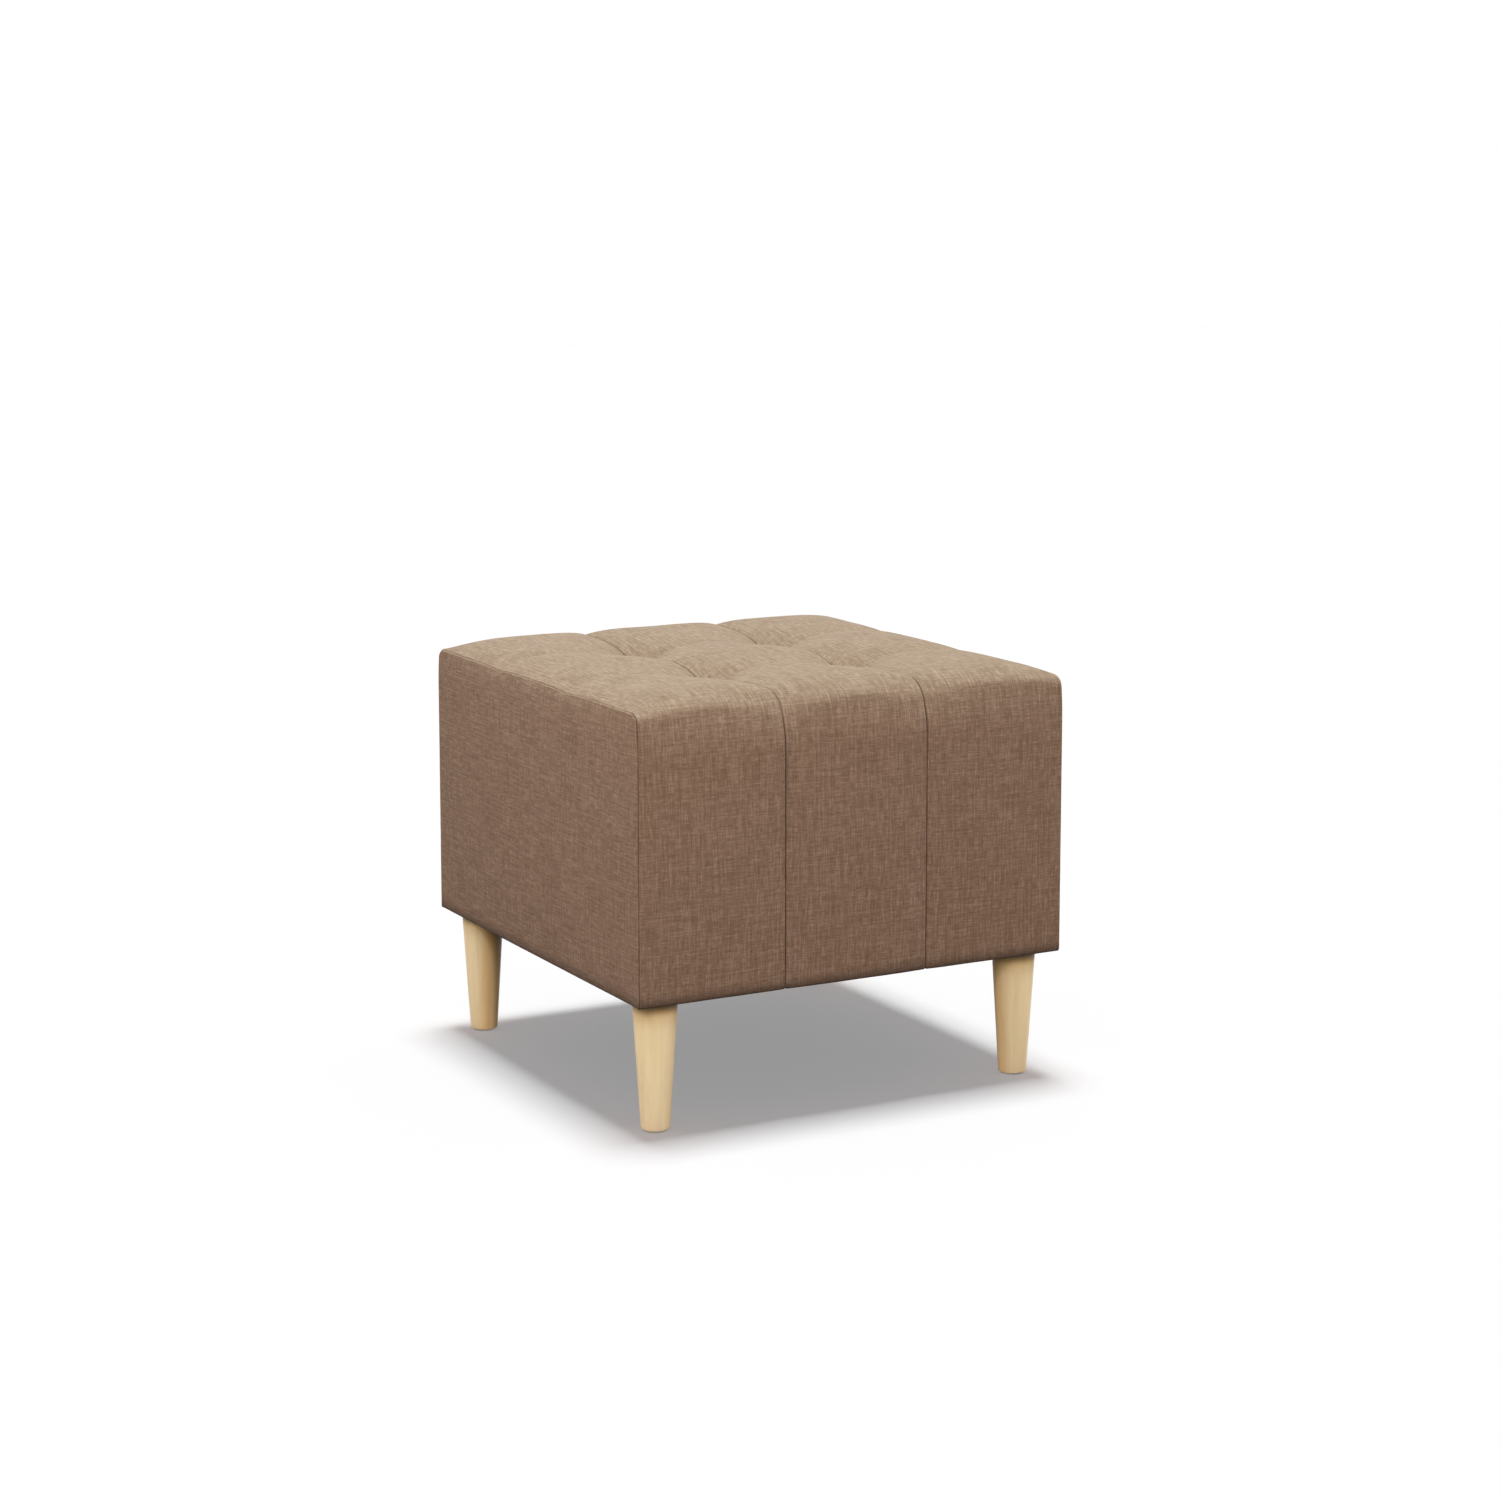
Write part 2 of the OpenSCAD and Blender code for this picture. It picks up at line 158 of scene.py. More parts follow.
studio = {
    "sunStrength": 5.1,  # the large soft box overhead
    "sunWidth": 15,  # degrees across, which sets how soft the shadow's edge is
    "sunLean": 4.4,  # degrees from behind, so the shadow reaches a little further towards the viewer
    "sunPlace": (0, 0, 3),
    "sunTint": (0.745, 1.0, 0.985),
    "lowTint": (1.0, 0.96, 0.945),
    "bandStrength": 1.35,  # the glow all round, near the horizon
    "bandTop": 0.30,  # sine of the height where it ends
    "bandFull": 0.15,  # and of the height up to which it is full
    "skyStrength": 0.24,
    "softBoxes": {  # place and watts of the four that light the sides, but not the floor
        "softBoxFront": ((-0.9, -1.45, 1.1), 11.7),
        "softBoxLeft": ((-1.3, 0.2, 1.2), 6.0),
        "softBoxRight": ((1.4, -0.5, 1.1), 9.1),
        "softBoxBack": ((0.4, 1.5, 1.1), 8.6),
    },
    "softBoxSize": (1.2, 0.8),
    "softBoxAim": (0.0, 0.0, 0.32),
    "floorColour": (0.508, 0.388, 0.395),
    "floorBounce": (0.29, 0.215, 0.18),  # the floor's colour as the lighting rays find it
    "floorGlow": (0.247, 0.264, 0.266),  # lifts the shadow on the white floor where the background shows
    "floorSize": 30.0,
}


def addBackdrop(tree, output, seen, unseen):
    # The first shader shows the white background, straight, in a reflection or through glass,
    # and the second gives light
    path = addNode(tree, "LightPath").outputs
    shown = addMath(tree, "MAXIMUM", path["Is Camera Ray"], path["Is Transmission Ray"])
    shown = addMath(tree, "MAXIMUM", shown, path["Is Glossy Ray"])
    mixed = addNode(tree, "MixShader", {0: shown, 1: unseen.outputs[0], 2: seen.outputs[0]})
    addNode(tree, output, {"Surface": mixed.outputs[0]})


def addSky():
    world = bpy.data.worlds.new("studio")
    bpy.context.scene.world = world
    tree = nodeTree(world)
    way = addNode(tree, "TexCoord").outputs["Generated"]
    height = addNode(tree, "SeparateXYZ", {0: way}).outputs["Z"]
    band = addNode(tree, "MapRange", {
        "Value": height, "From Min": studio["bandTop"], "From Max": studio["bandFull"],
        "To Min": 0.0, "To Max": 1.0}, interpolation_type="SMOOTHSTEP").outputs["Result"]
    level = addMath(tree, "MULTIPLY_ADD", band, studio["bandStrength"], studio["skyStrength"])
    lit = addNode(tree, "Background", {"Color": (*studio["lowTint"], 1), "Strength": level})
    white = addNode(tree, "Background", {"Color": (1, 1, 1, 1), "Strength": 1.0})
    addBackdrop(tree, "OutputWorld", white, lit)


def addSun():
    lamp = bpy.data.lights.new("overhead", "SUN")
    lamp.energy = studio["sunStrength"]
    lamp.color = studio["sunTint"]
    lamp.angle = math.radians(studio["sunWidth"])
    sun = addObject("overhead", lamp)
    sun.location = studio["sunPlace"]
    turn, lean = math.radians(camera["turn"]), math.radians(studio["sunLean"])
    aside = math.sin(lean)
    pointAlong(sun, Vector((math.sin(turn) * aside, -math.cos(turn) * aside, -math.cos(lean))))


def addFloor():
    edge = studio["floorSize"] / 2
    mesh = bpy.data.meshes.new("floor")
    corners = [(-edge, -edge, 0), (edge, -edge, 0), (edge, edge, 0), (-edge, edge, 0)]
    mesh.from_pydata(corners, [], [(0, 1, 2, 3)])
    floor = addObject("floor", mesh)
    paint, tree = newMaterial("floorPaint")
    matt, bounce = [addNode(tree, "BsdfDiffuse", {"Color": (*studio[tone], 1)})
                    for tone in ("floorColour", "floorBounce")]
    glow = addNode(tree, "Emission", {"Color": (*studio["floorGlow"], 1), "Strength": 1.0})
    shown = addNode(tree, "AddShader", {0: matt.outputs[0], 1: glow.outputs[0]})
    addBackdrop(tree, "OutputMaterial", shown, bounce)
    mesh.materials.append(paint)
    return floor


def addSoftBoxes(floor):
    notFloor = bpy.data.collections.new("notFloor")
    notFloor.objects.link(floor)
    notFloor.collection_objects[0].light_linking.link_state = "EXCLUDE"
    for name, (place, watts) in studio["softBoxes"].items():
        lamp = bpy.data.lights.new(name, "AREA")
        lamp.shape = "RECTANGLE"
        lamp.size, lamp.size_y = studio["softBoxSize"]
        lamp.energy = watts
        lamp.color = studio["lowTint"]
        soft = addObject(name, lamp)
        soft.location = place
        pointAlong(soft, Vector(studio["softBoxAim"]) - Vector(place))
        soft.light_linking.receiver_collection = notFloor


addCamera()
addSky()
addSun()
addSoftBoxes(addFloor())
bpy.context.scene.view_settings.view_transform = "Standard"
print("camera, floor and light ready")


# The shape of the cushion, in metres, as in the drawing

box = {
    "half": 0.275,  # half the width and half the depth
    "span": 0.275 / 3,  # half a pillow, and the distance from the middle to a seam or a valley
    "low": 0.1501,
    "top": 0.4701,  # top corners of the side panels
    "fold": 0.0025,  # radius of the fold under the bottom edges
    "leastFold": 0.0002,
    "hem": 0.030,
    "hemMitre": 0.0004,  # clearance where two hems meet at a corner
    "leastHem": 0.0006,
    "cloth": 0.0015,
    "crowding": 1.4,  # how far the rows of the mesh crowd towards the valleys
}
half, span = box["half"], box["span"]
pillow = {
    "rise": 0.022,  # of the crests above the top corners
    "seamDrop": 0.008, "seamPower": 4,  # at the seams between the strips
    "crossDrop": 0.003, "crossPower": 4.5,  # in the valleys across the strips
    "edgeDrop": 0.0175, "edgePower": 2.8,  # at the side panels
    "tuftDrop": 0.034, "tuftReach": 0.033,
}
rounding = {
    "deep": 0.078, "high": 0.021,  # in the middle of a strip
    "corner": 0.012, "cornerPower": 3.5,
    "seam": 0.040, "seamPower": 1.5,
    "least": 0.0005,
    "sink": 0.0015, "sinkPower": 6,  # how far the seams are drawn in on the front and back
    "lean": 0.0075, "cornerLean": 0.0025,  # how far the faces lean in below the edge
    "leanFrom": 0.418,  # height from which they do
    "mostLean": 0.4,  # as a share of the rounding's depth
}


def ease(distance, power):
    return np.clip(1 - distance / span, 0, 1) ** power


def fromFold(v):
    return np.abs(np.abs(v) - span)


def crown(x, y):
    return (pillow["rise"]
            - pillow["seamDrop"] * ease(fromFold(x), pillow["seamPower"])
            - pillow["edgeDrop"] * ease(half - np.abs(x), pillow["edgePower"])
            - pillow["crossDrop"] * ease(fromFold(y), pillow["crossPower"])
            - pillow["tuftDrop"] * np.exp(-np.hypot(fromFold(x), fromFold(y)) / pillow["tuftReach"]))


def topZ(x, y, depth):
    return box["top"] - depth + crown(x, y)


def roundingSize(x, depth):
    atSide = ease(half - np.abs(x), rounding["cornerPower"])
    atSeam = ease(fromFold(x), rounding["seamPower"])
    atMiddle = (1 - atSide) * (1 - atSeam)
    return [np.maximum(middle * atMiddle + rounding["corner"] * atSide + rounding["seam"] * atSeam - depth,
                       rounding["least"])
            for middle in (rounding["deep"], rounding["high"])]


def crowded(count, power, low, high, bothEnds=False):
    # Places from low to high that crowd towards low, or towards both ends
    t = np.linspace(0, 1, count)
    if bothEnds:
        t = 2 * t - 1
        return low + (high - low) * (1 + np.sign(t) * (1 - (1 - np.abs(t)) ** power)) / 2
    return low + (high - low) * t ** power


def openSteps(count):
    return np.linspace(0, 1, count, endpoint=False)


def halfLines(x, depth, steps, startZ=None, hem=None):
    # Lines in y and z from the front face, or its hem, to the middle of the top, one column for each x.
    # depth is how far inside the face of the cover they lie.
    x, depth = np.broadcast_arrays(np.asarray(x, float), np.asarray(depth, float))
    deep, high = roundingSize(x, depth)
    sink = rounding["sink"] * ease(fromFold(x), rounding["sinkPower"])
    rollEnd = half - sink - depth - deep
    faceY = -rollEnd - deep
    leanFrom, atSide = rounding["leanFrom"], ease(half - np.abs(x), rounding["cornerPower"])
    lean = rounding["lean"] + (rounding["cornerLean"] - rounding["lean"]) * atSide
    lean = np.minimum(lean, deep * rounding["mostLean"])

    # The roll starts with the tilt that the face ends with, which settles in a few rounds
    first, wide = np.full(x.shape, 0.2), deep - lean
    for _ in range(5):
        rollZ = topZ(x, faceY + lean, depth) + high * (np.sin(first) - 1)
        tilt = 2 * lean / (rollZ - leanFrom)
        first = np.arctan(tilt * high / wide)
        wide = (deep - lean) / np.cos(first)

    line, low = [], box["low"] + box["fold"]
    if hem is not None:
        foldY = half - sink - box["fold"]
        foldR = np.maximum(box["fold"] - depth, box["leastFold"])
        for t in openSteps(steps["hem"]):
            line.append((-(half - hem) * (1 - t) - foldY * t, low - foldR))
        for a in np.radians(np.linspace(0, 90, steps["fold"], endpoint=False)):
            line.append((-foldY - foldR * math.sin(a), low - foldR * math.cos(a)))
    if startZ is not None:
        low = startZ
    for t in openSteps(steps["face"]):
        z = low + (rollZ - low) * t
        line.append((faceY + lean * np.clip((z - leanFrom) / (rollZ - leanFrom), 0, 1) ** 2, z))
    for t in openSteps(steps["roll"]):
        a = first + (math.pi / 2 - first) * t
        y = -rollEnd - wide * np.cos(a)
        line.append((y, topZ(x, y, depth) + high * (np.sin(a) - 1)))
    for t in crowded(steps["slope"], box["crowding"], 0, 1)[:0:-1]:
        y = -(span + (rollEnd - span) * t)
        line.append((y, topZ(x, y, depth)))
    for t in crowded(steps["pillow"], box["crowding"], 0, 1):
        y = -span * (1 - t) + 0 * x
        line.append((y, topZ(x, y, depth)))
    ys, zs = zip(*line)
    return np.array(ys), np.array(zs)


def fullLines(x, depth, steps, **more):
    ys, zs = halfLines(x, depth, steps, **more)
    return np.concatenate([ys, -ys[-2::-1]]), np.concatenate([zs, zs[-2::-1]])


def smoothStep(v, low, high):
    t = np.clip((v - low) / (high - low), 0, 1)
    return t * t * (3 - 2 * t)


def unevenness(points, size, seed):
    # Soft seeded noise from about -1 to 1, with lumps of the given size
    shift = Vector((seed * 3.1, seed * 1.7, seed * 5.3))
    values = [noise.noise(Vector(p) / size + shift) for p in points.reshape(-1, 3)]
    return np.array(values).reshape(points.shape[:2])


# Meshes and pieces

def together(*values):
    # The values side by side along a new last axis
    return np.stack(np.broadcast_arrays(*values), -1)


def gridFaces(rows, columns):
    i = np.arange(rows * columns).reshape(rows, columns)
    return together(i[:-1, :-1], i[:-1, 1:], i[1:, 1:], i[1:, :-1]).reshape(-1, 4)


def tubeFaces(rings):
    beside = np.roll(rings, -1, axis=1)
    return list(together(rings[:-1], beside[:-1], beside[1:], rings[1:]).reshape(-1, 4))


def gridNormals(points):
    normals = np.cross(np.gradient(points, axis=1), np.gradient(points, axis=0))
    return normals / np.maximum(np.linalg.norm(normals, axis=2, keepdims=True), 1e-12)


def smooth(mesh):
    mesh.polygons.foreach_set("use_smooth", [True] * len(mesh.polygons))


def makePiece(name, points, faces, uv=None, **shades):
    # shades are values of painted shade, light or tint for each point, kept under their own names for the
    # material
    mesh = bpy.data.meshes.new(name)
    places = [tuple(p) for p in np.asarray(points, float)]
    mesh.from_pydata(places, [], [tuple(int(i) for i in face) for face in faces])
    mesh.update()
    smooth(mesh)
    if uv is not None:
        layer = mesh.uv_layers.new(name="weave")
        corners = np.zeros(len(mesh.loops), np.int32)
        mesh.loops.foreach_get("vertex_index", corners)
        layer.data.foreach_set("uv", np.asarray(uv, np.float32)[corners].ravel())
    for label, values in shades.items():
        kept = mesh.attributes.new(label, "FLOAT", "POINT")
        kept.data.foreach_set("value", np.asarray(values, np.float32).ravel())
    return addObject(name, mesh)


def finishPiece(obj, material, slot, *nodes):
    obj.data.materials.clear()
    obj.data.materials.append(material)
    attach(obj, "root")
    if nodes:
        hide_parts(*nodes)
    return obj


def thicken(obj, thickness, group=None):
    solid = obj.modifiers.new("thickness", "SOLIDIFY")
    solid.thickness = thickness
    solid.offset = -1
    if group:
        solid.vertex_group = group


# Cover fabric, in a linen-look weave of light and dark yarns

fabric = {
    "dark": (0.37, (0.152, 0.089, 0.055)),  # each tone with its place between dark and light yarn
    "middle": (0.5, (0.216, 0.132, 0.090)),
    "light": (0.63, (0.311, 0.207, 0.151)),
    "creaseShade": 0.9,
    "slubWidth": 0.0012,
    "slubLength": 0.011,
    "threadPitch": 0.0009,
    "threadHeight": 0.25,  # beside the slubs
    "roughness": 0.9,
    "gloss": 0.12,
    "sheen": 0.03,
    "sheenRoughness": 0.6,
    "sheenTint": (1.0, 0.97, 0.92, 1),
    "bump": 0.35,
    "bumpHeight": 0.0004,
}


def slubs(tree, place, across, along, seed):
    # Long thin flecks, as uneven yarn gives, from 0 to 1
    scaled = addNode(tree, "Mapping", {
        "Vector": place, "Scale": (1 / across, 1 / along, 1), "Location": (seed, seed * 2.3, 0)})
    return addNoise(tree, {"Vector": scaled.outputs[0], "Scale": 1.0, "Detail": 2.0, "Roughness": 0.55},
                    noise_dimensions="2D")


def fabricMaterial():
    material, tree = newMaterial("coverFabric")
    place = addNode(tree, "UVMap", uv_map="weave").outputs[0]
    width, length = fabric["slubWidth"], fabric["slubLength"]
    warp = slubs(tree, place, width, length * 1.3, 3.0)
    weft = slubs(tree, place, length * 0.8, width, 11.0)
    longWarp = slubs(tree, place, width * 2.2, length * 5, 21.0)
    longWeft = slubs(tree, place, length * 5, width * 2.2, 31.0)
    fine = addMath(tree, "MULTIPLY_ADD", warp, 0.30, addMath(tree, "MULTIPLY", weft, 0.28))
    coarse = addMath(tree, "MULTIPLY_ADD", longWarp, 0.23, addMath(tree, "MULTIPLY", longWeft, 0.19))
    level = addMath(tree, "ADD", fine, coarse)
    tone = addTones(tree, level, fabric["dark"], fabric["light"], fabric["middle"])

    # The relief holds the slubs and the threads, which go over and under each other
    parts = addNode(tree, "SeparateXYZ", {0: place}).outputs
    turns = 2 * math.pi / fabric["threadPitch"]
    waves = [addMath(tree, "SINE", addMath(tree, "MULTIPLY", parts[way], turns)) for way in "XY"]
    threads, yarns = addMath(tree, "MULTIPLY", *waves), addMath(tree, "ADD", warp, weft)
    height = addMath(tree, "MULTIPLY_ADD", threads, fabric["threadHeight"], yarns)
    # The base colour carries the painted shade and painted light of the cover
    addSurface(tree, {
        "Base Color": shaded(tree, tone, fabric["creaseShade"]),
        "Normal": addBump(tree, fabric["bump"], fabric["bumpHeight"], height),
        "Roughness": fabric["roughness"], "Specular IOR Level": fabric["gloss"],
        "Sheen Weight": fabric["sheen"], "Sheen Roughness": fabric["sheenRoughness"],
        "Sheen Tint": fabric["sheenTint"]})
    return material


coverFabric = fabricMaterial()


# Shade and light painted into the cover's colour, which the fabric takes from a point attribute

shade = {
    "seamDepth": (0.0002, 0.0013),  # where the painted shade in a seam starts and is full
    "seam": 0.6, "seamOnTop": -0.4,  # how dark the painted shade is between two strips, and what the top adds to that
    "side": 0.3, "sideOnTop": 0.12,  # the same beside a panel
    "sideFrom": 0.2,
    "topFrom": 0.035, "topTo": 0.005,  # below the top corners, where the faces pass into the top
    "hemWide": (0.70, 0.0095), "hemClose": (0.33, 0.0028),  # painted shade at the bottom edge, and how fast it fades
    "hemEnd": (0.008, 0.020),
    # painted light towards the top of the faces, and the heights over which it comes in
    "paintedTopLight": 0.06, "paintedTopLightZ": (0.33, 0.44),
    "paintedTopLightStrips": 0.5,  # share of it that the strips have
}


def onTop(z):
    return smoothStep(z, box["top"] - shade["topFrom"], box["top"] - shade["topTo"])


def seamShade(depth, most):
    # Painted shade in a seam, which grows with the depth of the cloth in it
    return most * smoothStep(np.asarray(depth), *shade["seamDepth"])


def sideShade(top):
    return shade["side"] + shade["sideOnTop"] * top


def hemShade(z):
    # Painted shade at the bottom edge, which turns away from the light
    up = np.maximum(np.asarray(z) - box["low"], 0)
    wide, close = [most * np.exp(-up / fall) for most, fall in (shade["hemWide"], shade["hemClose"])]
    return (wide + close) * (1 - smoothStep(up, *shade["hemEnd"]))


def paintedTopLight(z):
    # Painted light: lighter towards the top edge of the faces
    return shade["paintedTopLight"] * smoothStep(np.asarray(z), *shade["paintedTopLightZ"])


# Cover strips: three lengths of fabric that run over the front, the top and the back

strip = {
    "cell": 0.0034,  # width of a column of the mesh
    "crowding": 1.5,
    "seamGap": 0.00015,  # on each side of a seam
    "seamTurn": 0.0020,  # radius with which the fabric turns down into a seam
    "seamTuck": 0.0018,  # how far it goes on straight down
    "cornerTurn": 0.0009,  # that radius at the side panels
    "faceBulge": 0.0030,
    "bulgeFrom": (0.155, 0.26), "bulgeTo": (0.29, 0.44),  # heights where the bulge comes and goes
    "unevenness": 0.00035, "lump": 0.045,
    "pucker": 0.0004,  # height of the folds round a tuft
    "puckerAt": 0.011,  # distance from the tuft at which they are highest
    "puckerFrom": 0.004, "puckerLow": 0.03,
    "paintedValleyLight": 0.09, "valleyReach": 0.05,  # painted light: the valleys between the pillows are painted a little lighter
    "steps": {"hem": 8, "fold": 5, "face": 74, "roll": 26, "slope": 30, "pillow": 30},
    "flat": (0.2035, 1.25),  # with 10 mm of seam allowance on each side
}


def seamColumns():
    # Distance from the seam and depth of the columns that turn down into it, the deepest first
    r, gap = strip["seamTurn"], strip["seamGap"]
    turn = np.radians(np.linspace(90, 0, 7))
    away = np.concatenate([[gap], gap + r * (1 - np.sin(turn))])
    depth = np.concatenate([[r + strip["seamTuck"]], r * (1 - np.cos(turn))])
    return away, depth


def cornerColumns():
    # The same at the side panels, where the fabric turns back under the corner
    r, gap = strip["cornerTurn"], strip["seamGap"]
    turn = np.radians(np.linspace(-45, 90, 9))
    return gap + r * (1 + math.sqrt(2)) - r * np.cos(turn), r * (1 - np.sin(turn))


def stripColumns(seamAt, otherAt):
    firstAway, firstDepth = seamColumns()
    lastAway, lastDepth = cornerColumns() if abs(otherAt) > span else seamColumns()
    way = 1 if otherAt > seamAt else -1
    start, end = seamAt + way * firstAway[-1], otherAt - way * lastAway[-1]
    count = int(abs(end - start) / strip["cell"]) + 2
    between = crowded(count, strip["crowding"], start, end, bothEnds=True)
    x = np.concatenate([seamAt + way * firstAway[:-1], between, (otherAt - way * lastAway[:-1])[::-1]])
    depth = np.concatenate([firstDepth[:-1], np.zeros(count), lastDepth[:-1][::-1]])
    return (x, depth) if way > 0 else (x[::-1], depth[::-1])


def hemWidth(v):
    # The hem is cut at 45 degrees towards the corners
    return np.clip(half - np.abs(v) - box["hemMitre"], box["fold"] + box["leastHem"], box["hem"])


def puckers(points, seed):
    # Ten small folds that run out from each tuft, some higher than others
    x, y = points[..., 0], points[..., 1]
    dx, dy = np.abs(x) - span, np.abs(y) - span
    away = np.hypot(dx, dy)
    turn = np.arctan2(dy, dx)
    quarter = np.sign(x) * 1.3 + np.sign(y) * 2.1 + seed
    wave = np.cos(10 * turn + quarter * 2.4 + 55 * away) * (0.6 + 0.4 * np.cos(3 * turn + quarter))
    far = away / strip["puckerAt"]
    reach = far * np.exp(1 - far) * np.clip(away / strip["puckerFrom"], 0, 1)
    return strip["pucker"] * wave * reach * (points[..., 2] > box["top"] - strip["puckerLow"])


def makeStrip(name, seamAt, otherAt, node, seed):
    x, depth = stripColumns(seamAt, otherAt)
    ys, zs = fullLines(x, depth, strip["steps"], hem=hemWidth(x))
    points = together(x, ys, zs)

    steps = np.linalg.norm(np.diff(points, axis=0), axis=2)
    length = np.concatenate([np.zeros((1, len(x))), np.cumsum(steps, axis=0)])
    length += (box["hem"] - hemWidth(x))[None, :]
    uv = together(x, length).reshape(-1, 2) + (seed * 0.31, seed * 0.17)

    free = np.sin(np.pi * np.clip((x - x.min()) / (x.max() - x.min()), 0, 1))  # nothing at the seams
    onFace = smoothStep(zs, *strip["bulgeFrom"]) * (1 - smoothStep(zs, *strip["bulgeTo"]))
    swell = strip["faceBulge"] * (free ** 0.7)[None, :] * onFace
    swell += strip["unevenness"] * unevenness(points, strip["lump"], seed) * free[None, :]
    swell += puckers(points, seed)
    points = points + gridNormals(points) * swell[..., None]

    # Painted shade in the seams and at the hem, less painted light in the valleys and towards the top
    top = onTop(zs)
    most = np.where(np.abs(x) > shade["sideFrom"], sideShade(top), shade["seam"] + shade["seamOnTop"] * top)
    fromTuft = np.hypot(fromFold(x)[None, :], fromFold(ys))
    paintedLight = strip["paintedValleyLight"] * np.exp(-fromTuft / strip["valleyReach"]) * top
    paintedLight += shade["paintedTopLightStrips"] * paintedTopLight(zs) * (1 - top)
    crease = np.maximum(seamShade(depth, most), hemShade(zs)) - paintedLight

    obj = makePiece(name, points.reshape(-1, 3), gridFaces(*ys.shape), uv, crease=crease)
    thicken(obj, box["cloth"])
    finishPiece(obj, coverFabric, "cover_fabric", node)


makeStrip("coverStripLeft", -span, -half, "cover_strip_left", 1)
makeStrip("coverStripMiddle", -span, span, "cover_strip_middle", 2)
makeStrip("coverStripRight", span, half, "cover_strip_right", 3)
print("cover strips made")


# Cover panels: a plain piece sewn into each side, with a raised edge over its seam allowance

panel = {
    "across": 150, "up": 92, "crowding": 1.35,  # the mesh
    "outlineSteps": {"face": 60, "roll": 40, "slope": 120, "pillow": 120},
    "outlineAt": 0.0026,  # how far inside the corner its outline is taken
    "sideCrown": 0.0045,  # what the outline rises above the top corners
    "edge": 0.0055,  # width of the raised edge
    "edgeFrom": 0.0012, "edgeTo": 0.0014,  # where it starts to fall and has fallen, about that width
    "edgeHeight": 0.0005,
    "bulge": 0.0065, "bulgePower": 0.6,
    "bulgeWide": 0.56, "bulgeTop": 0.478, "topFall": 0.055, "lowFall": 0.04,  # where it fades at the edges
    "shoulder": 0.0014,  # how far it swells out just below the top seam
    "shoulderFall": 0.006, "shoulderFrom": 0.40, "shoulderTo": 0.455,
    "unevenness": 0.0004, "lump": 0.05,
    "flat": (0.570, 0.370),
}


def panelOutline():
    # Left side, top and right side of the panel as one line in y and z
    ys, zs = fullLines(np.array([half - panel["outlineAt"]]), np.array([0.0]), panel["outlineSteps"])
    return together(ys[:, 0], zs[:, 0])


def lengthsAlong(line):
    return np.concatenate([[0], np.cumsum(np.linalg.norm(np.diff(line, axis=0), axis=1))])


def alongLine(line, fractions):
    length = lengthsAlong(line)
    return together(*[np.interp(fractions * length[-1], length, part) for part in line.T])


def besideLine(line):
    # Unit vectors square to the line, to its left
    tangent = np.gradient(line, axis=0)
    tangent /= np.maximum(np.linalg.norm(tangent, axis=1, keepdims=True), 1e-12)
    return together(-tangent[:, 1], tangent[:, 0])


def distanceToLine(points, line):
    best = np.full(len(points), 1e9)
    for start, way in zip(line[:-1], np.diff(line, axis=0)):
        t = np.clip(((points - start) @ way) / max(way @ way, 1e-15), 0, 1)
        best = np.minimum(best, np.linalg.norm(points - start - t[:, None] * way, axis=1))
    return best


def panelGrid(outline, inset):
    # Rows from the bottom up and columns from front to back, inside a line that follows the outline
    rim = outline - besideLine(outline) * inset
    low, high = rim[0], rim[-1]
    corner = rounding["corner"]
    sideLength = corner * 0.5 * math.pi / 2 + (box["top"] + panel["sideCrown"] - corner - box["low"])
    share = sideLength / lengthsAlong(rim)[-1]
    across = crowded(panel["across"], panel["crowding"], 0, 1, bothEnds=True)
    up = crowded(panel["up"], panel["crowding"], 0, 1, bothEnds=True)
    left, right = alongLine(rim, up * share), alongLine(rim, 1 - up * share)
    top = alongLine(rim, share + across * (1 - 2 * share))
    bottom = together(low[0] + (high[0] - low[0]) * across, low[1])
    s, t = across[None, :, None], up[:, None, None]
    return ((1 - t) * bottom[None] + t * top[None] + (1 - s) * left[:, None] + s * right[:, None]
            - (1 - s) * (1 - t) * bottom[0] - s * (1 - t) * bottom[-1]
            - (1 - s) * t * top[0] - s * t * top[-1])


def panelFace(flat, shape, outline, seed):
    # How far out each point of the face lies
    fromSeam = distanceToLine(flat, outline)
    y, z = flat[:, 0], flat[:, 1]
    field = smoothStep(fromSeam, panel["edge"] - panel["edgeFrom"], panel["edge"] + panel["edgeTo"])
    below, above = np.maximum(panel["bulgeTop"] - z, 0), z - box["low"]
    middle = ((np.cos(np.pi * y / panel["bulgeWide"]) ** panel["bulgePower"])
              * (1 - np.exp(-below / panel["topFall"])) * (1 - np.exp(-above / panel["lowFall"])))
    shoulder = (panel["shoulder"] * (1 - np.exp(-fromSeam / panel["shoulderFall"]))
                * smoothStep(z, panel["shoulderFrom"], panel["shoulderTo"]))
    outwards = half - panel["edgeHeight"] * field + panel["bulge"] * middle * field + shoulder
    places = together(0.0, y, z).reshape(*shape, 3)
    return outwards + panel["unevenness"] * unevenness(places, panel["lump"], seed).ravel() * middle


